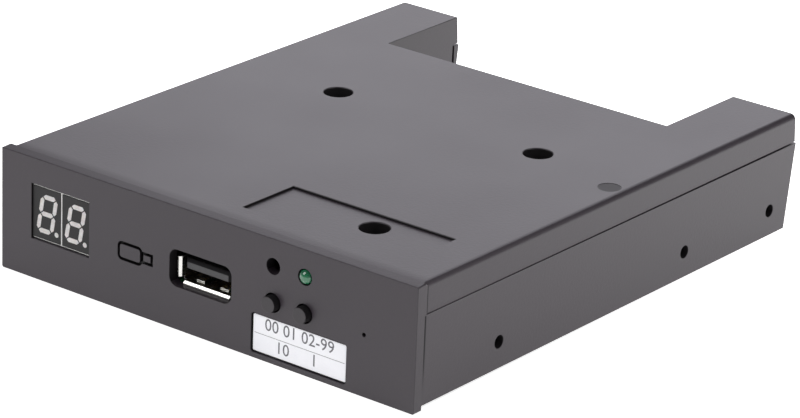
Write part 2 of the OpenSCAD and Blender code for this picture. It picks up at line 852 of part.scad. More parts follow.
module main_board() {
    color([0.1, 0.35, 0.2]) difference() {
        block([-board_half, board_front, board_z], [board_half, board_rear, board_top]);
        block([-board_half - past, board_front - past, board_z - past],
            [display_cut_x, display_cut_y, board_top + past]);
        for (at = screws) {
            board_hole(at.x, at.y, screw_d + 2 * screw_clear - 2 * lead_clear);
        }
        header_holes(0, drive_cols);
        header_holes(jumper_x, jumper_cols);
        for (pin = [0 : power_pins - 1]) {
            board_hole(power_x + in_row(pin, power_pins, power_pitch), bend_y[0], pin_across);
        }
        for (pin = [0 : display_pin_count - 1]) {
            board_hole(in_row(pin, display_pin_count, pin_pitch) - display_x, display_bend_y, pin_across);
        }
        for (x = contact_x) {
            board_hole(x - usb_x, contact_bend_y + contact_t / 2, contact_w);
        }
        for (side = [-1, 1]) {
            board_hole(side * (usb_w + usb_sheet) / 2 - usb_x, usb_tab_y + usb_tab_w / 2, usb_tab_across);
            board_hole(columns[1] + side * led_lead_x, led_bend_y + lead_t / 2, lead_t * sqrt(2));
        }
        for (x = columns) {
            switch_leg_places(x) board_hole(0, 0, switch_leg_w + switch_leg_t / 2);
        }
    }
}

module display_board() {
    half = display_board_w / 2;
    color([0.1, 0.35, 0.2]) difference() {
        block([-display_x - half, digit_back, floor_z + display_board_up],
            [-display_x + half, display_back, roof_z - display_board_gap]);
        digit_pin_places() rod_y(0, 0, digit_back - past, display_back + past, digit_pin_d + 2 * lead_clear);
        for (pin = [0 : display_pin_count - 1]) {
            rod_y(in_row(pin, display_pin_count, pin_pitch) - display_x, display_pin_z,
                digit_back - past, display_back + past, pin_across + 2 * lead_clear);
        }
    }
}

// USB socket

// Spring finger cut free of the shell's floor, bent up to press on the plug
module usb_finger(x) {
    root = usb_inset + finger_root;
    tip = usb_inset + finger_tip;
    crest = usb_inset + finger_crest;
    half = finger_w / 2;
    along_x(x - half, x + half) polygon([
        [root + past, -usb_sheet], [root + past, 0], [root, 0],
        [crest + half / 3, finger_rise], [crest - half / 3, finger_rise], [tip, finger_tip_up],
        [tip, finger_tip_up - usb_sheet], [crest, finger_rise - usb_sheet], [root, -usb_sheet]]);
}

module usb_finger_slot(x) {
    half = finger_w / 2 + 0.4;
    block([x - half, usb_inset + finger_tip - 0.1, -usb_sheet - past],
        [x + half, usb_inset + finger_root, usb_h / 4]);
}

// Flared lips at the socket's floor and sides
module usb_lips() {
    y0 = usb_inset;
    y1 = y0 + usb_lip;
    y2 = y1 + usb_relief + usb_sheet;
    out = usb_flare;
    translate([0, 0, -usb_h / 2]) along_x(-usb_lip_half_w, usb_lip_half_w) polygon([
        [y0, -out], [y1, 0], [y2, 0], [y2, -usb_sheet], [y1, -usb_sheet], [y0, -out - usb_sheet]]);
    for (side = [0, 1]) {
        mirror([side, 0, 0]) translate([-usb_w / 2, 0, 0]) along_z(-usb_lip_half_h, usb_lip_half_h) polygon([
            [-out, y0], [0, y1], [0, y2], [-usb_sheet, y2], [-usb_sheet, y1], [-out - usb_sheet, y0]]);
    }
}

module usb_shell() {
    finger_x = 2.95;
    tab_low = board_z - lead_tail - usb_z;
    color("silver") translate([-usb_x, 0, usb_z]) {
        difference() {
            union() {
                along_y(usb_inset + usb_lip + usb_relief, usb_rear)
                    rounded_rect(usb_w + 2 * usb_sheet, usb_h + 2 * usb_sheet, 2 * usb_sheet);
                usb_lips();
            }
            along_y(0, usb_rear + past) rounded_rect(usb_w, usb_h, usb_sheet);
            block([-usb_w, 0, usb_lip_half_h], [usb_w, usb_inset + usb_roof_back, usb_h]);
            for (x = [-finger_x, finger_x]) {
                translate([0, 0, -usb_h / 2]) usb_finger_slot(x);
            }
        }
        for (x = [-finger_x, finger_x]) {
            translate([0, 0, -usb_h / 2]) usb_finger(x);
        }
        for (side = [0, 1]) {
            mirror([side, 0, 0])
                block([usb_w / 2, usb_tab_y, tab_low], [usb_w / 2 + usb_sheet, usb_tab_y + usb_tab_w, 0]);
        }
    }
}

module usb_insulator() {
    block_y = usb_rear - usb_block_t;
    tongue_y = usb_inset + tongue_inset;
    color([0.15, 0.15, 0.16]) difference() {
        union() {
            along_y(block_y, usb_rear) translate([-usb_x, usb_z])
                rounded_rect(usb_w - 2 * usb_fit, usb_h - 2 * usb_fit, usb_sheet);
            intersection() {
                along_x(-usb_x - tongue_w / 2, tongue_w / 2 - usb_x) polygon([[tongue_y, tongue_z],
                    [tongue_y, tongue_top - tongue_slope], [tongue_y + tongue_slope, tongue_top],
                    [block_y + past, tongue_top], [block_y + past, tongue_z]]);
                along_z(tongue_z - past, tongue_top + past) translate([-usb_x, 0]) polygon([
                    [tongue_corner - tongue_w / 2, tongue_y], [tongue_w / 2 - tongue_corner, tongue_y],
                    [tongue_w / 2, tongue_y + tongue_corner], [tongue_w / 2, block_y + past],
                    [-tongue_w / 2, block_y + past], [-tongue_w / 2, tongue_y + tongue_corner]]);
            }
        }
        for (x = contact_x) {
            block([x - usb_x - contact_w / 2 - pin_clear, block_y - past / 2,
                    tongue_z - contact_t - pin_clear],
                [x - usb_x + contact_w / 2 + pin_clear, usb_rear + past, tongue_z]);
        }
    }
}

module usb_contacts() {
    color("gold") for (x = contact_x) {
        low = [x - usb_x - contact_w / 2, usb_inset + tongue_inset + 0.6, tongue_z - contact_t];
        block(low, [low.x + contact_w, contact_bend_y + contact_t, tongue_z]);
        block([low.x, contact_bend_y, board_z - lead_tail],
            [low.x + contact_w, contact_bend_y + contact_t, tongue_z]);
    }
}

// Display

// Middle of a digit module, place 0 for the tens and 1 for the ones
function digit_x(place) = -display_x + (place - 0.5) * digit_w;

// Leans a point of the figure by its slant
function slanted(p) = [p.x + p.y * tan(glyph_slant), p.y];

// Six-sided outline of one segment, lying or standing
function segment_points(at, half, standing, grow) =
    let (w = segment_w / 2 + grow, l = half + grow)
    [for (p = [[-l, 0], [w - l, w], [l - w, w], [l, 0], [l - w, -w], [w - l, -w]])
        slanted(at + (standing ? [p.y, p.x] : p))];

// All segments and the decimal point of one figure, grown for its holes
module figure(grow) {
    across = (glyph_w - segment_w) / 2;
    up = (glyph_h - segment_w) / 4;
    for (level = [-1, 0, 1]) {
        polygon(segment_points([0, 2 * level * up], across - segment_gap, false, grow));
    }
    for (x = [-across, across], z = [-up, up]) {
        polygon(segment_points([x, z], up - segment_gap, true, grow));
    }
    translate([point_x, segment_w / 2 - glyph_h / 2]) circle(d = point_d + 2 * grow);
}

module digit_housing(place) {
    color("white") block([digit_x(place) - digit_w / 2, digit_inset + face_t, display_z - digit_h / 2],
        [digit_x(place) + digit_w / 2, digit_back, display_z + digit_h / 2]);
}

module digit_face(place) {
    left = digit_x(place) - digit_w / 2 + place * face_rim;
    color([0.16, 0.15, 0.16]) along_y(digit_inset, digit_inset + face_t) difference() {
        translate([left, display_z - digit_h / 2 + face_rim])
            square([digit_w - face_rim, digit_h - 2 * face_rim]);
        translate([digit_x(place), display_z]) figure(segment_clear);
    }
}

module digit_segments(place) {
    color([0.9, 0.89, 0.88]) along_y(digit_inset, digit_inset + face_t)
        translate([digit_x(place), display_z]) figure(0);
}

module tens_digit_housing() {
    digit_housing(0);
}

module ones_digit_housing() {
    digit_housing(1);
}

module tens_digit_face() {
    digit_face(0);
}

module ones_digit_face() {
    digit_face(1);
}

module tens_digit_segments() {
    digit_segments(0);
}

module ones_digit_segments() {
    digit_segments(1);
}

// Puts its children at every pin of the two digit modules
module digit_pin_places() {
    for (place = [0, 1], side = [-1, 1], pin = [-2 : 2]) {
        translate([digit_x(place) + pin * digit_pin_pitch, 0, display_z + side * digit_pin_rows]) children();
    }
}

module digit_pins() {
    color("silver") digit_pin_places() rod_y(0, 0, digit_back, display_back, digit_pin_d);
}

module display_header() {
    half = display_pin_count * pin_pitch / 2;
    color([0.1, 0.1, 0.1]) difference() {
        block([-display_x - half, display_back, board_top],
            [-display_x + half, display_back + header_t, board_top + pin_pitch]);
        for (pin = [0 : display_pin_count - 1]) {
            x = in_row(pin, display_pin_count, pin_pitch) - display_x;
            pin_hole(x, display_pin_z, display_back, display_back + header_t);
        }
    }
}

module display_header_pins() {
    color("gold") for (pin = [0 : display_pin_count - 1]) {
        x = in_row(pin, display_pin_count, pin_pitch) - display_x;
        bent_pin(x, display_pin_z, digit_back + pin_t, display_bend_y);
    }
}

// Stands its children on the rear of the display board
module on_display() {
    translate([-display_x, display_back, driver_z]) rotate([-90, 0, 0]) children();
}

module display_driver_chip() {
    color([0.12, 0.12, 0.12]) on_display() chip_body(driver_l);
}

module display_driver_leads() {
    color("silver") on_display() chip_leads(8);
}

// Chips

// Body of a two-sided chip standing off its board by a lead's thickness
module chip_body(length) {
    translate([-length / 2, -chip_w / 2, chip_lead_t]) cube([length, chip_w, chip_h]);
}

// Stepped outline of one lead, from the chip's side down to the board
module lead_outline(reach, height, t) {
    knee = 0.4 * reach;
    polygon([[0, height - t], [0, height], [knee + t, height], [knee + t, t],
        [reach, t], [reach, 0], [knee, 0], [knee, height - t]]);
}

module chip_leads(per_side) {
    for (side = [0, 1], lead = [0 : per_side - 1]) {
        x = in_row(lead, per_side, chip_lead_pitch);
        mirror([0, side, 0]) translate([0, chip_w / 2, 0]) along_x(x - chip_lead_w / 2, x + chip_lead_w / 2)
            lead_outline(chip_lead_reach, chip_h / 2, chip_lead_t);
    }
}

module on_board(at) {
    translate([at.x, at.y, board_top]) children();
}

module controller_chip() {
    half = controller_size / 2;
    color([0.12, 0.12, 0.12]) on_board(controller_at)
        block([-half, -half, chip_lead_t], [half, half, chip_lead_t + chip_h]);
}

module controller_leads() {
    per_side = 16;
    pitch = 0.5;
    w = 0.22;
    color("silver") on_board(controller_at) for (turn = [0 : 90 : 270], lead = [0 : per_side - 1]) {
        x = in_row(lead, per_side, pitch);
        rotate([0, 0, turn]) translate([0, controller_size / 2, 0]) along_x(x - w / 2, x + w / 2)
            lead_outline(chip_lead_reach, chip_h / 2, chip_lead_t);
    }
}

module buffer_chips() {
    color([0.12, 0.12, 0.12]) for (at = buffers_at) {
        on_board(at) chip_body(buffer_l);
    }
}

module buffer_leads() {
    color("silver") for (at = buffers_at) {
        on_board(at) chip_leads(7);
    }
}

module regulator_chip() {
    color([0.12, 0.12, 0.12]) on_board(regulator_at)
        translate([-regulator_l / 2, -regulator_w / 2, chip_lead_t]) cube([regulator_l, regulator_w, chip_h]);
}

module regulator_leads() {
    tab_half = 1.5;
    half = 0.35;
    pitch = 2.3;
    reach = 1.7;
    t = 0.25;
    color("silver") on_board(regulator_at) {
        for (x = [-pitch, 0, pitch]) {
            mirror([0, 1, 0]) translate([0, regulator_w / 2, 0]) along_x(x - half, x + half)
                lead_outline(reach, chip_h / 2, t);
        }
        translate([0, regulator_w / 2, 0]) along_x(-tab_half, tab_half) lead_outline(reach, chip_h / 2, t);
    }
}

module crystal_can() {
    can_l = 6.4;
    can_d = 4.6;
    can_h = 3.5;
    flange_out = 2.7;
    flange_rim = 0.3;
    flange_h = 0.5;
    color("silver") on_board(crystal_at) {
        block([-can_l / 2 - flange_out, -can_d / 2 - flange_rim, 0],
            [can_l / 2 + flange_out, can_d / 2 + flange_rim, flange_h]);
        block([-can_l / 2, -can_d / 2, 0], [can_l / 2, can_d / 2, can_h]);
        for (x = [-can_l / 2, can_l / 2]) {
            translate([x, 0, 0]) cylinder(h = can_h, d = can_d);
        }
    }
}

module capacitor_cans() {
    color("silver") for (at = capacitors_at) {
        on_board(at) translate([0, 0, capacitor_base_t]) cylinder(h = capacitor_h, d = capacitor_d);
    }
}

module capacitor_bases() {
    half = capacitor_d / 2 + 0.15;
    color([0.1, 0.1, 0.1]) for (at = capacitors_at) {
        on_board(at) block([-half, -half, 0], [half, half, capacitor_base_t]);
    }
}

module chip_resistors() {
    color([0.1, 0.1, 0.11]) for (item = [0 : resistor_count - 1]) {
        x = in_row(item, resistor_count, resistor_pitch);
        on_board([x - resistor_size.x / 2, resistor_y - resistor_size.y / 2]) cube(resistor_size);
    }
}

module ceramic_capacitors() {
    color([0.6, 0.48, 0.32]) for (at = ceramics_at) {
        on_board(at) translate([-ceramic_size.x / 2, -ceramic_size.y / 2, 0]) cube(ceramic_size);
    }
}

// Status LED

module status_led() {
    color([0.25, 0.6, 0.4]) {
        rod_y(columns[1], led_z, led_d / 2 - led_proud, led_back, led_d);
        rod_y(columns[1], led_z, led_back - led_rim_t, led_back, led_rim_d);
        translate([columns[1], led_d / 2 - led_proud, led_z]) sphere(d = led_d);
    }
}

module status_led_leads() {
    half = lead_t / 2;
    color("silver") for (side = [-1, 1]) {
        x = columns[1] + side * led_lead_x;
        block([x - half, led_back, led_z - half], [x + half, led_bend_y + lead_t, led_z + half]);
        block([x - half, led_bend_y, board_z - lead_tail], [x + half, led_bend_y + lead_t, led_z + half]);
    }
}

// Push buttons and their switches

// Puts its children at the four legs of the switch in one column
module switch_leg_places(x) {
    for (side = [-1, 1], y = [base_y + switch_leg_edge, base_y + switch_t - switch_leg_edge]) {
        translate([x + side * (switch_w / 2 - switch_leg_edge), y, 0]) children();
    }
}

module switch_base(x) {
    color([0.12, 0.12, 0.12]) difference() {
        block([x - switch_w / 2, base_y, board_top],
            [x + switch_w / 2, base_y + switch_t, board_top + switch_h]);
        rod_y(x, control_z, base_y - past, base_y + cavity_t, cavity_d);
    }
}

module switch_frame(x) {
    color("silver") difference() {
        block([x - switch_w / 2, switch_y, board_top], [x + switch_w / 2, base_y, board_top + switch_h]);
        rod_y(x, control_z, switch_y - past, base_y + past, button_d + button_clear);
    }
}

module switch_dome(x) {
    sheet = 0.12;
    under = dome_h - sheet;
    crown = 0.8;
    foot = cavity_d / 2 - 0.2;
    color("silver") translate([x, base_y + cavity_t, control_z]) rotate([90, 0, 0]) rotate_extrude()
        polygon([[0, under], [0, dome_h], [crown, dome_h], [foot, 0], [foot - 2 * sheet, 0], [crown, under]]);
}

module push_button(x) {
    color([0.1, 0.1, 0.1]) {
        rod_y(x, control_z, -button_proud, flange_y + flange_t, button_d);
        rod_y(x, control_z, flange_y, flange_y + flange_t, flange_d);
    }
}

module tens_switch_base() {
    switch_base(columns[0]);
}

module ones_switch_base() {
    switch_base(columns[1]);
}

module tens_switch_frame() {
    switch_frame(columns[0]);
}

module ones_switch_frame() {
    switch_frame(columns[1]);
}

module tens_switch_dome() {
    switch_dome(columns[0]);
}

module ones_switch_dome() {
    switch_dome(columns[1]);
}

module tens_button() {
    push_button(columns[0]);
}

module ones_button() {
    push_button(columns[1]);
}

module switch_legs() {
    low = [-switch_leg_w / 2, -switch_leg_t / 2, board_z - lead_tail];
    color("silver") for (x = columns) {
        switch_leg_places(x) block(low, [switch_leg_w / 2, switch_leg_t / 2, board_top]);
    }
}

// Rear connectors

// Square hole for a pin through a plastic base
module pin_hole(x, z, y0, y1) {
    half = pin_t / 2 + pin_clear;
    block([x - half, y0 - past, z - half], [x + half, y1 + past, z + half]);
}

// Right-angle pin that runs from its tip to a bend and down through the main board
module bent_pin(x, z, tip, bend) {
    half = pin_t / 2;
    block([x - half, min(tip, bend - half), z - half], [x + half, max(tip, bend + half), z + half]);
    block([x - half, bend - half, board_z - lead_tail], [x + half, bend + half, z + half]);
}

module header_base(x, cols) {
    half = cols * pin_pitch / 2;
    color([0.1, 0.1, 0.1]) difference() {
        block([x - half, header_y, board_top], [x + half, board_rear, board_top + 2 * pin_pitch]);
        for (col = [0 : cols - 1], row = [0, 1]) {
            pin_hole(x + in_row(col, cols, pin_pitch), row_z[row], header_y, board_rear);
        }
    }
}

module header_pins(x, cols) {
    color("gold") for (col = [0 : cols - 1], row = [0, 1]) {
        bent_pin(x + in_row(col, cols, pin_pitch), row_z[row], board_rear + pin_len, bend_y[row]);
    }
}

module drive_header_base() {
    header_base(0, drive_cols);
}

module drive_header_pins() {
    header_pins(0, drive_cols);
}

module jumper_header_base() {
    header_base(jumper_x, jumper_cols);
}

module jumper_header_pins() {
    header_pins(jumper_x, jumper_cols);
}

module power_header_base() {
    half = power_w / 2;
    color([0.93, 0.92, 0.88]) difference() {
        union() {
            block([power_x - half, header_y, board_top], [power_x + half, board_rear, board_top + power_h]);
            block([power_x - half, header_y, board_top],
                [power_x + half, board_rear + power_shelf_len, board_top + power_shelf_t]);
        }
        for (pin = [0 : power_pins - 1]) {
            pin_hole(power_x + in_row(pin, power_pins, power_pitch), power_pin_z, header_y, board_rear);
        }
    }
}

module power_header_pins() {
    color("silver") for (pin = [0 : power_pins - 1]) {
        bent_pin(power_x + in_row(pin, power_pins, power_pitch), power_pin_z,
            board_rear + pin_len, bend_y[0]);
    }
}

module jumper_cap() {
    x = jumper_x + in_row(jumper_col, jumper_cols, pin_pitch);
    z = board_top + pin_pitch;
    y0 = board_rear + cap_gap;
    half = pin_t / 2 + cap_clear;
    color([0.1, 0.1, 0.1]) difference() {
        block([x - cap_w / 2, y0, z - cap_h / 2], [x + cap_w / 2, y0 + cap_len, z + cap_h / 2]);
        for (pin_z = row_z) {
            block([x - half, y0 - past, pin_z - half], [x + half, y0 + cap_len - cap_end_t, pin_z + half]);
        }
    }
}

in_frame() bottom_tray();
in_frame() top_cover();
in_frame() front_bezel();
in_frame() front_label();
in_frame() case_screws();
in_frame() main_board();
in_frame() usb_shell();
in_frame() usb_insulator();
in_frame() usb_contacts();
in_frame() tens_digit_housing();
in_frame() ones_digit_housing();
in_frame() tens_digit_face();
in_frame() ones_digit_face();
in_frame() tens_digit_segments();
in_frame() ones_digit_segments();
in_frame() digit_pins();
in_frame() display_board();
in_frame() display_header();
in_frame() display_header_pins();
in_frame() display_driver_chip();
in_frame() display_driver_leads();
in_frame() status_led();
in_frame() status_led_leads();
in_frame() tens_switch_base();
in_frame() ones_switch_base();
in_frame() tens_switch_frame();
in_frame() ones_switch_frame();
in_frame() tens_switch_dome();
in_frame() ones_switch_dome();
in_frame() tens_button();
in_frame() ones_button();
in_frame() switch_legs();
in_frame() controller_chip();
in_frame() controller_leads();
in_frame() crystal_can();
in_frame() regulator_chip();
in_frame() regulator_leads();
in_frame() capacitor_cans();
in_frame() capacitor_bases();
in_frame() buffer_chips();
in_frame() buffer_leads();
in_frame() chip_resistors();
in_frame() ceramic_capacitors();
in_frame() drive_header_base();
in_frame() drive_header_pins();
in_frame() power_header_base();
in_frame() power_header_pins();
in_frame() jumper_header_base();
in_frame() jumper_header_pins();
in_frame() jumper_cap();
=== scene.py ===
import json
import math
import bmesh
import bpy
from mathutils import Matrix, Vector


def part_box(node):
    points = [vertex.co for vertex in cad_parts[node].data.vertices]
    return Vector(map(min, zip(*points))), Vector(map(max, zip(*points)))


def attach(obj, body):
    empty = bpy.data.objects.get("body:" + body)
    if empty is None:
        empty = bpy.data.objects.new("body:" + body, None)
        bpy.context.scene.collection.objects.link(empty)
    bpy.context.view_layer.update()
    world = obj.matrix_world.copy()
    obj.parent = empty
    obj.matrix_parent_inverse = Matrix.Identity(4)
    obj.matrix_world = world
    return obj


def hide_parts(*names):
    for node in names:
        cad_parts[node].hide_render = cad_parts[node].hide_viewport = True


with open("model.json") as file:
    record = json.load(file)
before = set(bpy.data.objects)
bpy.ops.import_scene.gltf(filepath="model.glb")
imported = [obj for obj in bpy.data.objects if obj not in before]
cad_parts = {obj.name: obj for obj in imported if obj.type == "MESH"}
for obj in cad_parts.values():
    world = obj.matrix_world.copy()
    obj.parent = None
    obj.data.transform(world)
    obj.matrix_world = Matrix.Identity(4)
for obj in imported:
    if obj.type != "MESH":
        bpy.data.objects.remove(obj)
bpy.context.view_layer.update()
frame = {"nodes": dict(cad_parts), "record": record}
nodes = frame["nodes"]
record = frame["record"]
scene = bpy.context.scene
mm = 0.001
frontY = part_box("front_bezel")[0].y  # the bezel's front face, in metres
slotOf = {part["node"]: part["material_slot"] for part in record["subparts"]}
bodyOf = {node: body for body, group in record["behaviour"]["bodies"].items() for node in group}


def place(x, y, z):  # mm from the middle, back from the front face, up from the bezel's lower edge
    return Vector((x * mm, frontY + y * mm, z * mm))


# camera, solved on the bezel's corners, the case's edges and the side holes
view = {
    "azimuth": 37.535, "elevation": 21.545, "roll": 2.268,  # degrees
    "target": (0, 70, 12), "across": -6.469, "up": -5.737, "away": 784.983,  # mm
    "focalPixels": 3952.124, "imageWidth": 800, "sensor": 36,  # pixels, pixels and mm
    "farthest": 20,  # metres
}


def makeCamera():
    azimuth, elevation, roll = (math.radians(view[key]) for key in ("azimuth", "elevation", "roll"))
    flat = math.cos(elevation)
    back = Vector((math.sin(azimuth) * flat, -math.cos(azimuth) * flat, math.sin(elevation)))
    level = Vector((math.cos(azimuth), math.sin(azimuth), 0))
    upright = back.cross(level)
    right = level * math.cos(roll) + upright * math.sin(roll)
    up = upright * math.cos(roll) - level * math.sin(roll)
    data = bpy.data.cameras.new("photoCamera")
    data.sensor_width = view["sensor"]
    data.lens = view["focalPixels"] * view["sensor"] / view["imageWidth"]
    data.clip_end = view["farthest"]
    camera = bpy.data.objects.new("photoCamera", data)
    scene.collection.objects.link(camera)
    camera.matrix_world = Matrix([right, up, back]).transposed().to_4x4()
    offset = right * view["across"] + up * view["up"] + back * view["away"]
    camera.location = place(*view["target"]) + offset * mm
    scene.camera = camera


makeCamera()
print("camera set")


# small helpers for shader and geometry trees
tones, amounts = {"data_type": "RGBA"}, {"data_type": "FLOAT"}  # what a Mix node mixes
smooth = {"interpolation_type": "SMOOTHSTEP"}
product = {"operation": "MULTIPLY"}
greater = {"operation": "GREATER_THAN"}
white, black = (1, 1, 1, 1), (0, 0, 0, 1)


def addNode(tree, kind, settings=None, values=None, links=None):
    node = tree.nodes.new(kind)
    for name, value in (settings or {}).items():
        setattr(node, name, value)
    for name, value in (values or {}).items():
        node.inputs[name].default_value = value
    for name, source in (links or {}).items():
        tree.links.new(source, node.inputs[name])
    return node


def linear(code):  # sRGB hex to linear, by the standard curve
    parts = [int(code[i:i + 2], 16) / 255 for i in (1, 3, 5)]
    return [c / 12.92 if c <= 0.04045 else ((c + 0.055) / 1.055) ** 2.4 for c in parts] + [1]


def perMm(size):  # texture scale for a pattern of this size in mm
    return 1 / (size * mm)


def span(before, after=(0, 1)):  # the ends of a range, before and after it is mapped
    return dict(zip(("From Min", "From Max", "To Min", "To Max"), (*before, *after)))


# each finish: two tones and the size of their patches, the grain's size and height, the roughness range
# real grain is finer, about 0.02 to 0.2 mm: it is drawn coarser here, so that it shows
finishes = {
    "charcoal_abs": {  # moulded ABS, spark-eroded mould: dark, evenly matt, a sheen at low angles
        "name": "mouldedCharcoalAbs", "dark": "#2c262d", "light": "#322b32", "patchMm": 40,
        "grainMm": 0.6, "grainHeight": 0.02, "grainShare": (0.15, 1), "rough": (0.38, 0.42),
        "rubbed": {"tone": "#1b181c"}, "dust": {"tone": "#a9a7a4", "apart": 16, "share": 0.012},
        "gateSpot": {"tone": "#1d191e", "rough": 0.55, "at": (46.65, 63.9, 24.8), "d": 4.6,
                     "rim": (0.54, 0.44)},
        # the joint line is painted shadow along the gap behind the bezel, darker higher up
        "paintedJointShadow": {"tone": "#0b090b", "rough": 0.9, "y": 2.25, "seamZ": 18.6, "earLong": 0.45,
                      "reach": 0.8, "fade": (0.7, 1.3), "rise": (1, 13), "facing": 0.8}},
    "shaded": {  # painted shade: the same ABS made darker on walls that face the dark side of the room
        "name": "shadedWallAbs", "dark": "#110f11", "light": "#151315", "patchMm": 6,
        "grainMm": 0.4, "grainHeight": 0.004, "rough": (0.45, 0.5), "specular": 0.3},
    "paintedDeepShade": {  # painted shade: the same ABS made nearly black deep in holes and on walls where little light comes
        "name": "shadedBoreAbs", "dark": "#161416", "light": "#1c1a1c", "patchMm": 3,
        "grainMm": 0.3, "grainHeight": 0.002, "rough": (0.55, 0.65), "specular": 0.2},
    "tongue": {  # glass-filled polyester: dark grey, dry
        "name": "greyGlassPolyester", "dark": "#343335", "light": "#434244", "patchMm": 1.5,
        "grainMm": 0.2, "grainHeight": 0.004, "rough": (0.4, 0.5)},
    "label_paper": {  # coated label paper: white, faintly fibrous
        "name": "coatedLabelPaper", "dark": "#eeeef3", "light": "#f6f6fa", "patchMm": 5,
        "grainMm": 0.25, "grainHeight": 0.003, "rough": (0.45, 0.6)},
    "zinc_screw_steel": {  # zinc-plated steel: pale grey with blotches of passivation
        "name": "zincPlatedSteel", "dark": "#8f9091", "light": "#b9b8b2", "patchMm": 1.6,
        "grainMm": 0.2, "grainHeight": 0.004, "rough": (0.25, 0.42), "metal": 1},
    "tinned_sheet": {  # tin-plated sheet: bright, faintly mottled
        "name": "tinPlatedSheet", "dark": "#c9c8c4", "light": "#e6e5e1", "patchMm": 2.5,
        "grainMm": 0.15, "grainHeight": 0.002, "rough": (0.16, 0.3), "metal": 1},
    "black_nylon": {  # glass-filled nylon: black, dry sheen, visible fibre specks
        "name": "blackGlassNylon", "dark": "#121213", "light": "#1f1f21", "patchMm": 1.2,
        "grainMm": 0.2, "grainHeight": 0.004, "rough": (0.45, 0.6)},
    "gold_contact": {  # gold flash over copper alloy: warm and bright
        "name": "goldFlashedAlloy", "dark": "#c79a45", "light": "#e6c274", "patchMm": 1.5,
        "grainMm": 0.2, "grainHeight": 0.002, "rough": (0.2, 0.32), "metal": 1},
    "white_reflector": {  # white-filled polycarbonate: chalky white
        "name": "whiteFilledPolycarbonate", "dark": "#d9d8d5", "light": "#efeeec", "patchMm": 2,
        "grainMm": 0.2, "grainHeight": 0.002, "rough": (0.4, 0.5)},
    "dark_display_face": {  # dark ink printed on the display's face: flat charcoal
        "name": "printedDisplayInk", "dark": "#171617", "light": "#1e1d1e", "patchMm": 2.2,
        "grainMm": 0.18, "grainHeight": 0.002, "rough": (0.45, 0.55), "specular": 0.35},
    "milky_segment": {  # diffusing epoxy: milky white, light spreads inside it
        "name": "milkyDiffusingEpoxy", "dark": "#b6b2b1", "light": "#d4d0cf", "patchMm": 1.1,
        "grainMm": 0.2, "grainHeight": 0.001, "rough": (0.3, 0.4), "milky": 0.12},
    "tinned_lead": {  # solder-dipped copper: grey-bright, soft lumps
        "name": "solderDippedCopper", "dark": "#b0b0ad", "light": "#d3d2cf", "patchMm": 0.8,
        "grainMm": 0.25, "grainHeight": 0.004, "rough": (0.28, 0.42), "metal": 1},
    "green_lens": {  # tinted diffusing epoxy: deep green, wet shine on the dome
        "name": "tintedGreenEpoxy", "dark": "#0f4a30", "light": "#1e7850", "patchMm": 1.4,
        "grainMm": 0.3, "grainHeight": 0.001, "rough": (0.12, 0.2), "coat": 1},
    "black_button": {  # polished-mould ABS: near black, smooth
        "name": "smoothBlackAbs", "dark": "#272227", "light": "#2c272c", "patchMm": 1.5,
        "grainMm": 0.3, "grainHeight": 0.003, "rough": (0.36, 0.42)},
    "black_epoxy": {  # moulded chip epoxy: charcoal, sandy
        "name": "mouldedChipEpoxy", "dark": "#161617", "light": "#232324", "patchMm": 1.5,
        "grainMm": 0.15, "grainHeight": 0.005, "rough": (0.5, 0.65)},
    "drawn_can": {  # drawn aluminium: satin, faintly clouded
        "name": "drawnAluminium", "dark": "#b4b5b6", "light": "#d6d6d5", "patchMm": 1.8,
        "grainMm": 0.2, "grainHeight": 0.003, "rough": (0.26, 0.36), "metal": 1},
    "tan_ceramic": {  # fired ceramic: tan, slightly glossy
        "name": "firedTanCeramic", "dark": "#8d6f49", "light": "#ab8b60", "patchMm": 0.9,
        "grainMm": 0.15, "grainHeight": 0.002, "rough": (0.35, 0.45)},
    "natural_nylon": {  # natural nylon: waxy off-white
        "name": "naturalNylon", "dark": "#dcd8ca", "light": "#eeebe0", "patchMm": 2,
        "grainMm": 0.25, "grainHeight": 0.003, "rough": (0.4, 0.5), "milky": 0.1},
    "green_circuit_board": {  # solder mask over glass-fibre: green, copper tracks show as lighter lines
        "name": "greenSolderMask", "dark": "#0d3d22", "light": "#14502e", "patchMm": 6,
        "grainMm": 0.3, "grainHeight": 0.003, "rough": (0.3, 0.42),
        "tracks": {"tone": "#2a7a48", "apart": 4.5}},
    "label_ink": {  # printer toner: grey-black, dull
        "name": "printedToner", "dark": "#57565b", "light": "#6d6c72", "patchMm": 0.4,
        "grainMm": 0.2, "grainHeight": 0.001, "rough": (0.6, 0.7)},
}
texture = {  # how the noise gives every finish its tone, gloss and relief
    "patch": {"Detail": 4, "Roughness": 0.6}, "grain": {"Detail": 2, "Roughness": 0.5},
    "grainInTone": 0.4, "toneFrom": (0.45, 0.95), "glossFrom": (0.3, 0.7),
    "areaMm": 45, "areaDetail": 1, "areaFrom": (0.42, 0.62),  # where the mould's texture is stronger
    "specular": 0.5, "milkyMm": 0.4,
}
trackShape = {  # shares of the tracks' spacing
    "Mortar Size": 0.03, "Mortar Smooth": 0.1, "Brick Width": 1.6, "Row Height": 0.32,
    "Color1": black, "Color2": black, "Mortar": white,
}


# marks on a finish: each of these gives the share of the surface that the mark covers
def rubbedEdges(tree, patches):  # edges that are handled go darker, in patches
    edges = addNode(tree, "ShaderNodeAttribute", {"attribute_name": "rubbed"})
    return addNode(tree, "ShaderNodeMath", product, links={0: edges.outputs["Fac"], 1: patches}).outputs[0]


def trackNet(tree, where, tracks):  # copper tracks as a net of straight lines
    net = addNode(tree, "ShaderNodeTexBrick", values={"Scale": perMm(tracks["apart"]), **trackShape},
                  links={"Vector": where})
    return net.outputs["Color"]


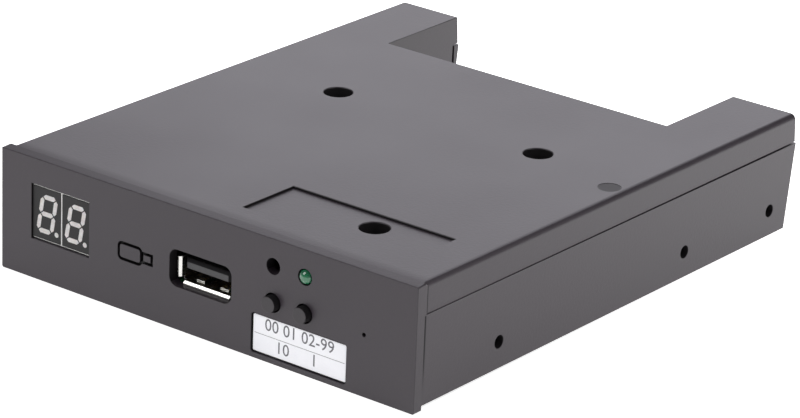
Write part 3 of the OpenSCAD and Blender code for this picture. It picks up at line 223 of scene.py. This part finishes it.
def dustSpecks(tree, where, dust):  # a few pale specks on faces that look up
    cells = addNode(tree, "ShaderNodeTexVoronoi", values={"Scale": perMm(dust["apart"]), "Randomness": 1},
                    links={"Vector": where})
    speck = addNode(tree, "ShaderNodeMath", {"operation": "LESS_THAN"}, {1: dust["share"]},
                    {0: cells.outputs["Distance"]})
    normal = addNode(tree, "ShaderNodeNewGeometry").outputs["Normal"]
    facing = addNode(tree, "ShaderNodeSeparateXYZ", links={0: normal})
    lying = addNode(tree, "ShaderNodeMath", {"operation": "MULTIPLY", "use_clamp": True},
                    links={0: speck.outputs[0], 1: facing.outputs["Z"]})
    return lying.outputs[0]


def gateMark(tree, where, spot):  # the mould gate's round mark, duller and darker than the texture round it
    away = addNode(tree, "ShaderNodeVectorMath", {"operation": "DISTANCE"}, {1: place(*spot["at"])},
                   {0: where})
    rim = [share * spot["d"] * mm for share in spot["rim"]]
    inside = addNode(tree, "ShaderNodeMapRange", smooth, span(rim), {"Value": away.outputs["Value"]})
    return inside.outputs[0]


def paintJointShadow(tree, where, joint):  # a painted shadow along the gap at the bezel's joint on the case's sides
    at = addNode(tree, "ShaderNodeSeparateXYZ", links={0: where}).outputs
    onCover = addNode(tree, "ShaderNodeMath", greater, {1: joint["seamZ"] * mm}, {0: at["Z"]})
    edge = addNode(tree, "ShaderNodeMath", {"operation": "MULTIPLY_ADD"},
                   {1: joint["earLong"] * mm, 2: place(0, joint["y"], 0).y},
                   {0: onCover.outputs[0]})  # the bezel reaches further back round the cover
    back = addNode(tree, "ShaderNodeMath", {"operation": "SUBTRACT"},
                   links={0: at["Y"], 1: edge.outputs[0]}).outputs[0]
    past = addNode(tree, "ShaderNodeMath", greater, {1: 0}, {0: back})
    ends = [joint["reach"] * share * mm for share in joint["fade"]]
    near = addNode(tree, "ShaderNodeMapRange", smooth, span(ends, (1, 0)), {"Value": back})
    heights = [z * mm for z in joint["rise"]]
    high = addNode(tree, "ShaderNodeMapRange", smooth, span(heights), {"Value": at["Z"]})
    normal = addNode(tree, "ShaderNodeNewGeometry").outputs["Normal"]
    sideways = addNode(tree, "ShaderNodeSeparateXYZ", links={0: normal}).outputs["X"]
    turned = addNode(tree, "ShaderNodeMath", {"operation": "ABSOLUTE"}, links={0: sideways})
    # the painted shadow covers side faces just behind the joint, fading back from it and towards the bottom
    shadowShare = addNode(tree, "ShaderNodeMath", greater, {1: joint["facing"]}, {0: turned.outputs[0]})
    for part in (past, near, high):
        shadowShare = addNode(tree, "ShaderNodeMath", product, links={0: shadowShare.outputs[0], 1: part.outputs[0]})
    return shadowShare.outputs[0]


markMakers = {"tracks": trackNet, "dust": dustSpecks, "gateSpot": gateMark, "paintedJointShadow": paintJointShadow}


def makeFinish(spec):
    material = bpy.data.materials.new(spec["name"])
    material.use_nodes = True
    tree = material.node_tree
    surface = tree.nodes["Principled BSDF"]
    where = addNode(tree, "ShaderNodeTexCoord").outputs["Object"]
    noise = {}
    for key in ("patch", "grain"):
        noise[key] = addNode(tree, "ShaderNodeTexNoise", links={"Vector": where},
                             values={"Scale": perMm(spec[key + "Mm"]), **texture[key]}).outputs["Fac"]
    patches, grain = noise["patch"], noise["grain"]
    spread = addNode(tree, "ShaderNodeMath", {"operation": "MULTIPLY_ADD", "use_clamp": True},
                     {1: texture["grainInTone"]}, {0: grain, 2: patches})
    shift = addNode(tree, "ShaderNodeMapRange", values=span(texture["toneFrom"]),
                    links={"Value": spread.outputs[0]})
    colour = addNode(tree, "ShaderNodeMix", tones, {"A": linear(spec["dark"]), "B": linear(spec["light"])},
                     {"Factor": shift.outputs[0]}).outputs["Result"]
    gloss = addNode(tree, "ShaderNodeMapRange", values=span(texture["glossFrom"], spec["rough"]),
                    links={"Value": patches}).outputs[0]
    covers = {"rubbed": rubbedEdges(tree, patches)} if "rubbed" in spec else {}
    covers.update({key: make(tree, where, spec[key]) for key, make in markMakers.items() if key in spec})
    for key, cover in covers.items():  # each mark lies over the ones before it
        mark = spec[key]
        colour = addNode(tree, "ShaderNodeMix", tones, {"B": linear(mark["tone"])},
                         {"Factor": cover, "A": colour}).outputs["Result"]
        if "rough" in mark:
            gloss = addNode(tree, "ShaderNodeMix", amounts, {"B": mark["rough"]},
                            {"Factor": cover, "A": gloss}).outputs["Result"]
    bump = addNode(tree, "ShaderNodeBump", values={"Strength": 1, "Distance": spec["grainHeight"] * mm},
                   links={"Height": grain})
    if "grainShare" in spec:
        areas = addNode(tree, "ShaderNodeTexNoise", links={"Vector": where},
                        values={"Scale": perMm(texture["areaMm"]), "Detail": texture["areaDetail"]})
        strength = addNode(tree, "ShaderNodeMapRange", smooth,
                           span(texture["areaFrom"], spec["grainShare"]), {"Value": areas.outputs["Fac"]})
        tree.links.new(strength.outputs[0], bump.inputs["Strength"])
    tree.links.new(colour, surface.inputs["Base Color"])
    tree.links.new(gloss, surface.inputs["Roughness"])
    tree.links.new(bump.outputs["Normal"], surface.inputs["Normal"])
    surface.inputs["Metallic"].default_value = spec.get("metal", 0)
    surface.inputs["Coat Weight"].default_value = spec.get("coat", 0)
    surface.inputs["Specular IOR Level"].default_value = spec.get("specular", texture["specular"])
    if "milky" in spec:  # light spreads under the surface
        surface.inputs["Subsurface Weight"].default_value = spec["milky"]
        surface.inputs["Subsurface Scale"].default_value = texture["milkyMm"] * mm
    return material


finishOf = {slot: makeFinish(spec) for slot, spec in finishes.items()}
for name, item in nodes.items():
    item.data.materials.clear()
    item.data.materials.append(finishOf[slotOf[name]])
print("finishes made:", len(finishOf))


# pieces that take a CAD node's place, or lie on one
corners = ((-1, -1), (1, -1), (1, 1), (-1, 1))  # round a rectangle


def settle(piece, node):
    if not piece.data.materials:
        piece.data.materials.append(finishOf[slotOf[node]])
    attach(piece, bodyOf[node])
    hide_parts(node)


def newPiece(name, mesh):
    piece = bpy.data.objects.new(name, mesh)
    scene.collection.objects.link(piece)
    return piece


def newMesh(name, work):
    mesh = bpy.data.meshes.new(name)
    work.to_mesh(mesh)
    work.free()
    return mesh


def resultOf(item):  # the evaluated object as a plain mesh
    depsgraph = bpy.context.evaluated_depsgraph_get()
    return bpy.data.meshes.new_from_object(item.evaluated_get(depsgraph), depsgraph=depsgraph)


def bridge(work, rings):  # faces from each ring to the next
    for first, second in zip(rings, rings[1:]):
        for i in range(len(first)):
            j = (i + 1) % len(first)
            work.faces.new((first[i], first[j], second[j], second[i]))


def thicken(work, faces, depth):  # flat faces grow along y into a closed solid
    grown = bmesh.ops.extrude_face_region(work, geom=faces)["geom"]
    moved = [part for part in grown if isinstance(part, bmesh.types.BMVert)]
    bmesh.ops.translate(work, verts=moved, vec=(0, depth, 0))
    bmesh.ops.recalc_face_normals(work, faces=work.faces)


# the case and other pieces that keep their CAD shape, with their edges rounded off
edgeWork = {
    "weld": 0.002, "flat": 0.4, "sharpest": 28, "widest": 40,  # mm, then degrees
    "segments": 2, "profile": 0.5, "digits": (3, 2),  # decimals by which planes count as one
}


def planeOf(normal, point):
    turned, offset = edgeWork["digits"]
    return tuple(round(part, turned) for part in normal) + (round(normal.dot(point) / mm, offset),)


def fillFlats(work):  # many-sided flat faces with holes are filled again from their outlines
    flats = {}
    work.edges.index_update()
    for face in work.faces:
        if len(face.verts) > 4:
            flats.setdefault(planeOf(face.normal, face.verts[0].co), []).append(face)
    for faces in flats.values():
        normal = faces[0].normal.copy()
        group = set(faces)
        edges = sorted({edge for face in faces for edge in face.edges}, key=lambda edge: edge.index)
        inside = [edge for edge in edges if all(face in group for face in edge.link_faces)]
        rim = [edge for edge in edges if not all(face in group for face in edge.link_faces)]
        bmesh.ops.delete(work, geom=faces, context="FACES_ONLY")
        bmesh.ops.delete(work, geom=inside, context="EDGES")
        left = [edge for edge in rim if edge.is_valid]
        bmesh.ops.triangle_fill(work, edges=left, use_beauty=True, normal=normal)


def evenNormals(mesh):  # each corner shades like the largest flats it meets at a low angle
    mesh.polygons.foreach_set("use_smooth", [True] * len(mesh.polygons))
    planes = [planeOf(face.normal, face.center) for face in mesh.polygons]
    area = {}
    meeting = {}
    for face, plane in zip(mesh.polygons, planes):
        area[plane] = area.get(plane, 0) + face.area
        for vertex in face.vertices:
            meeting.setdefault(vertex, {})[plane] = face.normal.copy()
    closest = math.cos(math.radians(edgeWork["widest"]))
    normals = []
    for face in mesh.polygons:
        for vertex in face.vertices:
            near = [normal * area[plane] for plane, normal in meeting[vertex].items()
                    if normal.dot(face.normal) > closest]
            normals.append(sum(near, Vector()).normalized())
    mesh.normals_split_custom_set(normals)


def inBox(point, box):  # box in mm, as place() counts
    low, high = (place(*corner) for corner in box)
    return all(low[axis] <= point[axis] <= high[axis] for axis in range(3))


def roundedCopy(name, node, radius, crisp):
    mesh = nodes[node].data.copy()
    mesh.name = name
    mesh.materials.clear()
    work = bmesh.new()
    work.from_mesh(mesh)
    bmesh.ops.remove_doubles(work, verts=work.verts, dist=edgeWork["weld"] * mm)
    bmesh.ops.dissolve_limit(work, angle_limit=math.radians(edgeWork["flat"]),
                             verts=work.verts, edges=work.edges)
    rubbed = work.faces.layers.float.new("rubbed")
    if radius:
        sharpest = math.radians(edgeWork["sharpest"])
        edges = [edge for edge in work.edges
                 if len(edge.link_faces) == 2 and edge.is_convex and edge.calc_face_angle(0) > sharpest
                 and not any(all(inBox(end.co, box) for end in edge.verts) for box in crisp)]
        made = bmesh.ops.bevel(work, geom=edges, offset=radius * mm, offset_type="OFFSET", affect="EDGES",
                               segments=edgeWork["segments"], profile=edgeWork["profile"],
                               clamp_overlap=False, loop_slide=True)
        for face in made["faces"]:
            face[rubbed] = 1
    work.normal_update()
    fillFlats(work)
    work.to_mesh(mesh)
    work.free()
    evenNormals(mesh)
    return newPiece(name, mesh)


def changeFinish(piece, choose):  # some faces, such as the walls of holes, take another finish, mostly a painted-shade one
    used = []
    for face in piece.data.polygons:
        middle = face.center
        finish = choose((middle.x / mm, (middle.y - frontY) / mm, middle.z / mm), face.normal)
        if finish:
            if finish not in used:
                used.append(finish)
                piece.data.materials.append(finishOf[finish])
            face.material_index = used.index(finish) + 1


roundings = {  # node, radius in mm, and boxes in mm whose edges stay crisp, as at joints
    "caseCover": {"node": "top_cover", "radius": 0.14,
                  "crisp": [((-60, 2.2, 0), (60, 2.4, 30)), ((-60, 2, 18.5), (60, 130, 19)),
                            ((44, 61, 24.6), (49.2, 67, 24.9))]},
    "caseTray": {"node": "bottom_tray", "radius": 0.12, "crisp": [((-60, 2, 18.4), (60, 130, 18.7))]},
    "caseBezel": {"node": "front_bezel", "radius": 0.1, "crisp": [((-60, 2.1, 0), (60, 2.8, 30))]},
    "tensButton": {"node": "tens_button", "radius": 0.2},
    "onesButton": {"node": "ones_button", "radius": 0.2},
    "statusLamp": {"node": "status_led", "radius": 0},
    "socketShell": {"node": "usb_shell", "radius": 0.05},
    "socketTongue": {"node": "usb_insulator", "radius": 0.08},
    "jumperCap": {"node": "jumper_cap", "radius": 0.2},
    "powerPlugBase": {"node": "power_header_base", "radius": 0.2},
}
wells = ((-23.9, 69), (26, 69), (26.5, 17.8))  # mm, the cover's screw wells
coverZones = {  # mm, and how far a wall's normal may rise
    "wellR": 2.95, "topZ": 24.6, "recessX": 49, "recessY": (3, 40), "recessZ": 23.8, "rise": 0.5,
}
trayZones = {  # mm, the screw holes and how near to the outer faces their walls change
    "holeR": 1.36, "sideX": 50.3, "sideY": (25.5, 85.5, 115.5), "sideZ": 6.2,
    "bottomX": 47.625, "bottomY": (35.5, 105.5), "bottomZ": 0.95,
}
bezelZones = {  # mm, and parts of a face's normal
    "halfX": 50, "z": (1, 24), "skinY": 0.11, "grooveX": -17.2, "grooveHalf": 6, "grooveY": 0.3,
    "grooveFacing": -0.9, "steep": 0.5, "lit": 0.6, "stepY": 2.4,
}
buttonFacing, tongueFacing = -0.6, -0.8  # faces whose normals point further forward than this are fronts


# painted shade: the walls of the screw wells take the near-black finish, the recess's walls the darker one
def coverFinish(spot, normal):
    x, y, z = spot
    inWell = any(math.hypot(x - wellX, y - wellY) < coverZones["wellR"] for wellX, wellY in wells)
    if z < coverZones["topZ"] and inWell:
        return "paintedDeepShade"
    near, far = coverZones["recessY"]
    inRecess = abs(x) < coverZones["recessX"] and z > coverZones["recessZ"] and near < y < far
    return "shaded" if inRecess and abs(normal.z) < coverZones["rise"] else None


# painted shade: the walls of the screw holes take the near-black finish
def trayFinish(spot, normal):
    x, y, z = spot
    reach = trayZones["holeR"]
    side = any(math.hypot(y - hole, z - trayZones["sideZ"]) < reach for hole in trayZones["sideY"])
    across = abs(x) - trayZones["bottomX"]
    under = any(math.hypot(across, y - hole) < reach for hole in trayZones["bottomY"])
    inside = side and abs(x) < trayZones["sideX"] or under and z > trayZones["bottomZ"]
    return "paintedDeepShade" if inside else None


# painted shade: walls and forward steps in the bezel's openings and recesses take the near-black finish,
# the stick's groove the darker one
def bezelFinish(spot, normal):
    x, y, z = spot
    low, high = bezelZones["z"]
    if abs(x) > bezelZones["halfX"] or not low < z < high or y < bezelZones["skinY"]:
        return None
    if abs(x - bezelZones["grooveX"]) < bezelZones["grooveHalf"]:  # the groove round the stick's outline, in painted shade
        return "shaded" if normal.y > bezelZones["grooveFacing"] or y > bezelZones["grooveY"] else None
    wall = abs(normal.y) < bezelZones["steep"] and normal.z < bezelZones["lit"]
    step = normal.y < -bezelZones["steep"] and y < bezelZones["stepY"]
    return "paintedDeepShade" if wall or step else None


# painted shade: the buttons' sides take the near-black finish, their fronts keep their own
def buttonFinish(spot, normal):
    return "paintedDeepShade" if normal.y > buttonFacing else None


# the tongue's front keeps the grey finish; its other faces, inside the socket, take the painted-shade
# finish
def tongueFinish(spot, normal):
    return "tongue" if normal.y < tongueFacing else "paintedDeepShade"


finishChoices = {
    "caseCover": coverFinish, "caseTray": trayFinish, "caseBezel": bezelFinish,
    "tensButton": buttonFinish, "onesButton": buttonFinish, "socketTongue": tongueFinish,
}
for name, spec in roundings.items():
    piece = roundedCopy(name, spec["node"], spec["radius"], spec.get("crisp", ()))
    settle(piece, spec["node"])
    if name in finishChoices:
        changeFinish(piece, finishChoices[name])
print("rounded pieces:", len(roundings))


# print on the label: plain figures and a dividing line
labelPrint = {  # mm; each figure's text, middle x, foot z and height
    "middle": (23.65, 5.05), "line": (21.4, 0.09), "ink": 0.012, "weld": 0.001, "curveSteps": 3,
    "figures": (("00 01 02-99", 23.65, 6.15, 2.35), ("10", 19.7, 2.35, 2.3), ("1", 27.2, 2.35, 2.3)),
}


def makeLabelPrint():
    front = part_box("front_label")[0].y
    work = bmesh.new()
    for body, x, z, tall in labelPrint["figures"]:
        curve = bpy.data.curves.new("figures", "FONT")
        curve.body, curve.align_x, curve.resolution_u = body, "CENTER", labelPrint["curveSteps"]
        holder = newPiece("figures", curve)
        mesh = resultOf(holder)
        bpy.data.objects.remove(holder)
        high = max(v.co.y for v in mesh.vertices)
        for v in mesh.vertices:
            v.co = place(x + v.co.x * tall / high, 0, z + v.co.y * tall / high)
        work.from_mesh(mesh)
    x, z = labelPrint["middle"]
    long, thick = labelPrint["line"]
    work.faces.new([work.verts.new(place(x + sx * long / 2, 0, z + sz * thick / 2)) for sx, sz in corners])
    for v in work.verts:
        v.co.y = front
    bmesh.ops.remove_doubles(work, verts=work.verts, dist=labelPrint["weld"] * mm)
    thicken(work, work.faces[:], -labelPrint["ink"] * mm)
    mesh = newMesh("labelPrint", work)
    mesh.materials.append(finishOf["label_ink"])
    piece = newPiece("labelPrint", mesh)
    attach(piece, bodyOf["front_label"])


makeLabelPrint()
print("label printed")


# what repeats is set out by Geometry Nodes
def startTree(name, inputs):
    tree = bpy.data.node_groups.new(name, "GeometryNodeTree")
    for label, kind in inputs.items():
        tree.interface.new_socket(label, in_out="INPUT", socket_type="NodeSocket" + kind)
    tree.interface.new_socket("Geometry", in_out="OUTPUT", socket_type="NodeSocketGeometry")
    return tree, addNode(tree, "NodeGroupInput").outputs


def endTree(tree, instances, finish):
    solid = addNode(tree, "GeometryNodeRealizeInstances", links={"Geometry": instances})
    dressed = addNode(tree, "GeometryNodeSetMaterial",
                      links={"Geometry": solid.outputs[0], "Material": finish})
    addNode(tree, "NodeGroupOutput", links={"Geometry": dressed.outputs[0]})
    return tree


def grow(name, tree, values, mesh=None):  # runs a tree once and keeps its result as a plain mesh
    piece = newPiece(name, mesh or bpy.data.meshes.new(name))
    maker = piece.modifiers.new(name, "NODES")
    maker.node_group = tree
    for socket in tree.interface.items_tree:
        if socket.in_out == "INPUT" and socket.name in values:
            maker[socket.identifier] = values[socket.name]
    grown = resultOf(piece)
    piece.modifiers.remove(maker)
    piece.data = grown
    return piece


# header pins: a bent pin for each row, set out along the header
pinRows = {
    "drivePins": {"node": "drive_header_pins", "columns": 17, "rows": 2},
    "jumperPins": {"node": "jumper_header_pins", "columns": 4, "rows": 2},
    "powerPins": {"node": "power_header_pins", "columns": 4, "rows": 1},
}
pinShape = {
    "thick": 0.64, "pitch": 2.54, "taper": 0.7, "bendRadius": 0.5,  # mm
    "tip": 0.45, "bendSteps": 4,  # the tip as a share of the thickness
}


def bentPin(name, tipY, bendY, topZ, tailZ):  # in metres, along y to the bend and then down
    half, taper, radius = pinShape["thick"] / 2 * mm, pinShape["taper"] * mm, pinShape["bendRadius"] * mm
    down = math.pi / 2
    path = [(tipY, topZ, 0, pinShape["tip"]), (tipY - taper, topZ, 0, 1)]
    for step in range(pinShape["bendSteps"] + 1):
        turn = down * step / pinShape["bendSteps"]
        y, z = bendY + radius - radius * math.sin(turn), topZ - radius + radius * math.cos(turn)
        path.append((y, z, turn, 1))
    path += [(bendY, tailZ + taper, down, 1), (bendY, tailZ, down, pinShape["tip"])]
    work = bmesh.new()
    rings = []
    for y, z, turn, share in path:
        liftY, liftZ = math.sin(turn) * -half * share, math.cos(turn) * half * share
        rings.append([work.verts.new((side * half * share, y + up * liftY, z + up * liftZ))
                      for side, up in corners])
    bridge(work, rings)
    work.faces.new(rings[0])
    work.faces.new(rings[-1])
    bmesh.ops.recalc_face_normals(work, faces=work.faces)
    return newPiece(name, newMesh(name, work))


def rowTree():
    tree, given = startTree("pinRow", {"Lower pin": "Object", "Upper pin": "Object", "Columns": "Int",
                                       "Pitch": "Float", "Start": "Vector", "Finish": "Material"})
    stride = addNode(tree, "ShaderNodeCombineXYZ", links={"X": given["Pitch"]})
    spots = addNode(tree, "GeometryNodeMeshLine", links={
        "Count": given["Columns"], "Start Location": given["Start"], "Offset": stride.outputs[0]})
    joined = addNode(tree, "GeometryNodeJoinGeometry")
    for label in ("Lower pin", "Upper pin"):
        pin = addNode(tree, "GeometryNodeObjectInfo", links={"Object": given[label]})
        stood = addNode(tree, "GeometryNodeInstanceOnPoints",
                        links={"Points": spots.outputs[0], "Instance": pin.outputs["Geometry"]})
        tree.links.new(stood.outputs[0], joined.inputs[0])
    return endTree(tree, joined.outputs[0], given["Finish"])


def makePins():
    tree = rowTree()
    half, pitch = pinShape["thick"] / 2 * mm, pinShape["pitch"] * mm
    for name, spec in pinRows.items():
        low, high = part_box(spec["node"])
        pins = {}
        for row, label in zip(range(spec["rows"]), ("Upper pin", "Lower pin")):
            inwards = half + row * pitch  # the lower row bends nearer to its tips
            pins[label] = bentPin(label.replace(" ", ""), high.y, low.y + inwards, high.z - inwards, low.z)
        step = (high.x - low.x - 2 * half) / (spec["columns"] - 1)
        piece = grow(name, tree, {**pins, "Columns": spec["columns"], "Pitch": step,
                                  "Start": (low.x + half, 0, 0), "Finish": finishOf[slotOf[spec["node"]]]})
        for pin in pins.values():
            bpy.data.objects.remove(pin)
        settle(piece, spec["node"])


makePins()
print("pin rows:", len(pinRows))


# pin header bases: a cell to each column, with notches between the cells
headerBases = {
    "driveHeader": {"node": "drive_header_base", "columns": 17, "notch": 0.45},  # mm
    "jumperHeader": {"node": "jumper_header_base", "columns": 4, "notch": 0.45},
}


def cellBase(name, spec):
    low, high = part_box(spec["node"])
    step = (high.x - low.x) / spec["columns"]
    notch = spec["notch"] * mm
    upper, lower = [], []
    for column in range(spec["columns"]):
        left, right = low.x + column * step, low.x + (column + 1) * step
        upper += [(left, high.z - notch), (left + notch, high.z), (right - notch, high.z)]
        lower += [(left, low.z + notch), (left + notch, low.z), (right - notch, low.z)]
    outline = upper + [(high.x, high.z - notch), (high.x, low.z + notch)] + lower[::-1]
    work = bmesh.new()
    face = work.faces.new([work.verts.new((x, low.y, z)) for x, z in outline])
    thicken(work, [face], high.y - low.y)
    bmesh.ops.triangulate(work, faces=[f for f in work.faces if len(f.verts) > 4])
    return newPiece(name, newMesh(name, work))


for name, spec in headerBases.items():
    settle(cellBase(name, spec), spec["node"])
print("header bases:", len(headerBases))


# case screws: one pan head with a cross recess, set into each well
screwShape = {
    "headD": 5.0, "headH": 2.2, "shankD": 2.6, "crown": 0.35, "recessDeep": 0.8,  # mm
    "point": 0.55, "crownCut": 0.3, "recess": 0.72, "recessWide": 0.2, "recessFloor": 0.7,  # shares
    "sides": 32, "sharpest": 35,  # edges that turn by more than this many degrees stay sharp
}


def panScrew(name, topZ, tailZ):  # about the z axis, in metres
    sides = screwShape["sides"]
    headR, shankR = screwShape["headD"] / 2 * mm, screwShape["shankD"] / 2 * mm
    headZ = topZ - screwShape["headH"] * mm
    crown = screwShape["crown"] * mm
    cut = crown * screwShape["crownCut"]
    outline = [(shankR * screwShape["point"], tailZ), (shankR, tailZ + shankR), (shankR, headZ),
               (headR, headZ), (headR, topZ - crown), (headR - cut, topZ - cut), (headR - crown, topZ)]
    work = bmesh.new()
    turns = [2 * math.pi * i / sides for i in range(sides)]
    rings = [[work.verts.new((r * math.cos(turn), r * math.sin(turn), z)) for turn in turns]
             for r, z in outline]
    bridge(work, rings)
    work.faces.new(rings[0][::-1])
    reach, wide = headR * screwShape["recess"], headR * screwShape["recessWide"]
    deepZ = topZ - screwShape["recessDeep"] * mm
    arm, cross = [(reach, -wide), (reach, wide), (wide, wide)], []
    for quarter in range(4):
        cross += arm
        arm = [(-y, x) for x, y in arm]
    narrow = screwShape["recessFloor"]
    mouth = [work.verts.new((x, y, topZ)) for x, y in cross]
    floor = [work.verts.new((x * narrow, y * narrow, deepZ)) for x, y in cross]
    bridge(work, [floor, mouth])
    work.faces.new(floor)
    rims = [edge for edge in work.edges if edge.is_boundary]
    bmesh.ops.triangle_fill(work, edges=rims, use_beauty=True, use_dissolve=False, normal=(0, 0, 1))
    bmesh.ops.recalc_face_normals(work, faces=work.faces)
    mesh = newMesh(name, work)
    mesh.polygons.foreach_set("use_smooth", [True] * len(mesh.polygons))
    mesh.set_sharp_from_angle(angle=math.radians(screwShape["sharpest"]))
    return newPiece(name, mesh)


def spotTree():
    tree, given = startTree("onePerSpot", {"Geometry": "Geometry", "Piece": "Object", "Finish": "Material"})
    piece = addNode(tree, "GeometryNodeObjectInfo", links={"Object": given["Piece"]})
    stood = addNode(tree, "GeometryNodeInstanceOnPoints",
                    links={"Points": given["Geometry"], "Instance": piece.outputs["Geometry"]})
    return endTree(tree, stood.outputs[0], given["Finish"])


def makeScrews():
    low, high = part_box("case_screws")
    screw = panScrew("panScrew", high.z, low.z)
    spots = bpy.data.meshes.new("screwSpots")
    spots.from_pydata([place(x, y, 0) for x, y in wells], [], [])
    piece = grow("caseScrews", spotTree(), {"Piece": screw, "Finish": finishOf["zinc_screw_steel"]}, spots)
    bpy.data.objects.remove(screw)
    settle(piece, "case_screws")


makeScrews()
print("screws set")


# floor and light
studio = {
    "floorSize": 6, "floor": ("#f2f2f2", "#f7f7f7"), "cloudMm": 300, "floorRough": 0.8,  # size in metres
    "glow": (0.7, 1.3), "glowFrom": (-0.06, 0.13),  # a light table, brighter to the rear, metres along y
    "sky": (0.28, 0.12), "skyFrom": (0.2, 0.5),  # strength near the horizon and above, and where it turns
    "softboxes": {  # metres, watts
        "key": {"at": (-0.45, -0.75, 0.8), "size": 0.7, "watts": 5.9, "tint": (1, 1, 1)},
        "fill": {"at": (0.9, 0.15, 0.8), "size": 0.7, "watts": 7, "tint": (1, 1, 1)},
        "back": {"at": (-0.591, 1.002, 0.517), "size": 0.8, "watts": 3.7, "tint": (0.95, 0.93, 1)}},
}


def makeFloor():
    bpy.ops.mesh.primitive_plane_add(size=studio["floorSize"])
    floor = bpy.context.object
    floor.name = "studioFloor"
    material = bpy.data.materials.new("paleStudioFloor")
    material.use_nodes = True
    tree = material.node_tree
    surface = tree.nodes["Principled BSDF"]
    where = addNode(tree, "ShaderNodeTexCoord").outputs["Object"]
    cloud = addNode(tree, "ShaderNodeTexNoise", values={"Scale": perMm(studio["cloudMm"])},
                    links={"Vector": where})
    dark, light = studio["floor"]
    tone = addNode(tree, "ShaderNodeMix", tones, {"A": linear(dark), "B": linear(light)},
                   {"Factor": cloud.outputs["Fac"]})
    depth = addNode(tree, "ShaderNodeSeparateXYZ", links={0: where}).outputs["Y"]
    glow = addNode(tree, "ShaderNodeMapRange", smooth, span(studio["glowFrom"], studio["glow"]),
                   {"Value": depth})
    tree.links.new(tone.outputs["Result"], surface.inputs["Base Color"])
    tree.links.new(glow.outputs[0], surface.inputs["Emission Strength"])
    surface.inputs["Emission Color"].default_value = white
    surface.inputs["Roughness"].default_value = studio["floorRough"]
    floor.data.materials.append(material)


def makeLight():
    world = bpy.data.worlds.new("studioSky")
    scene.world = world
    world.use_nodes = True
    tree = world.node_tree
    direction = addNode(tree, "ShaderNodeTexCoord").outputs["Generated"]
    height = addNode(tree, "ShaderNodeSeparateXYZ", links={0: direction}).outputs["Z"]
    level = addNode(tree, "ShaderNodeMapRange", smooth, span(studio["skyFrom"], studio["sky"]),
                    {"Value": height})
    background = tree.nodes["Background"]
    tree.links.new(level.outputs[0], background.inputs["Strength"])
    background.inputs["Color"].default_value = white
    for name, spec in studio["softboxes"].items():
        data = bpy.data.lights.new(name + "Softbox", "AREA")
        data.size, data.energy, data.color = spec["size"], spec["watts"], spec["tint"]
        lamp = bpy.data.objects.new(name + "Softbox", data)
        scene.collection.objects.link(lamp)
        lamp.location = spec["at"]
        lamp.rotation_euler = Vector(spec["at"]).to_track_quat("Z", "Y").to_euler()
    scene.view_settings.view_transform = "Standard"
    scene.view_settings.look = "None"


makeFloor()
makeLight()
print("studio set")
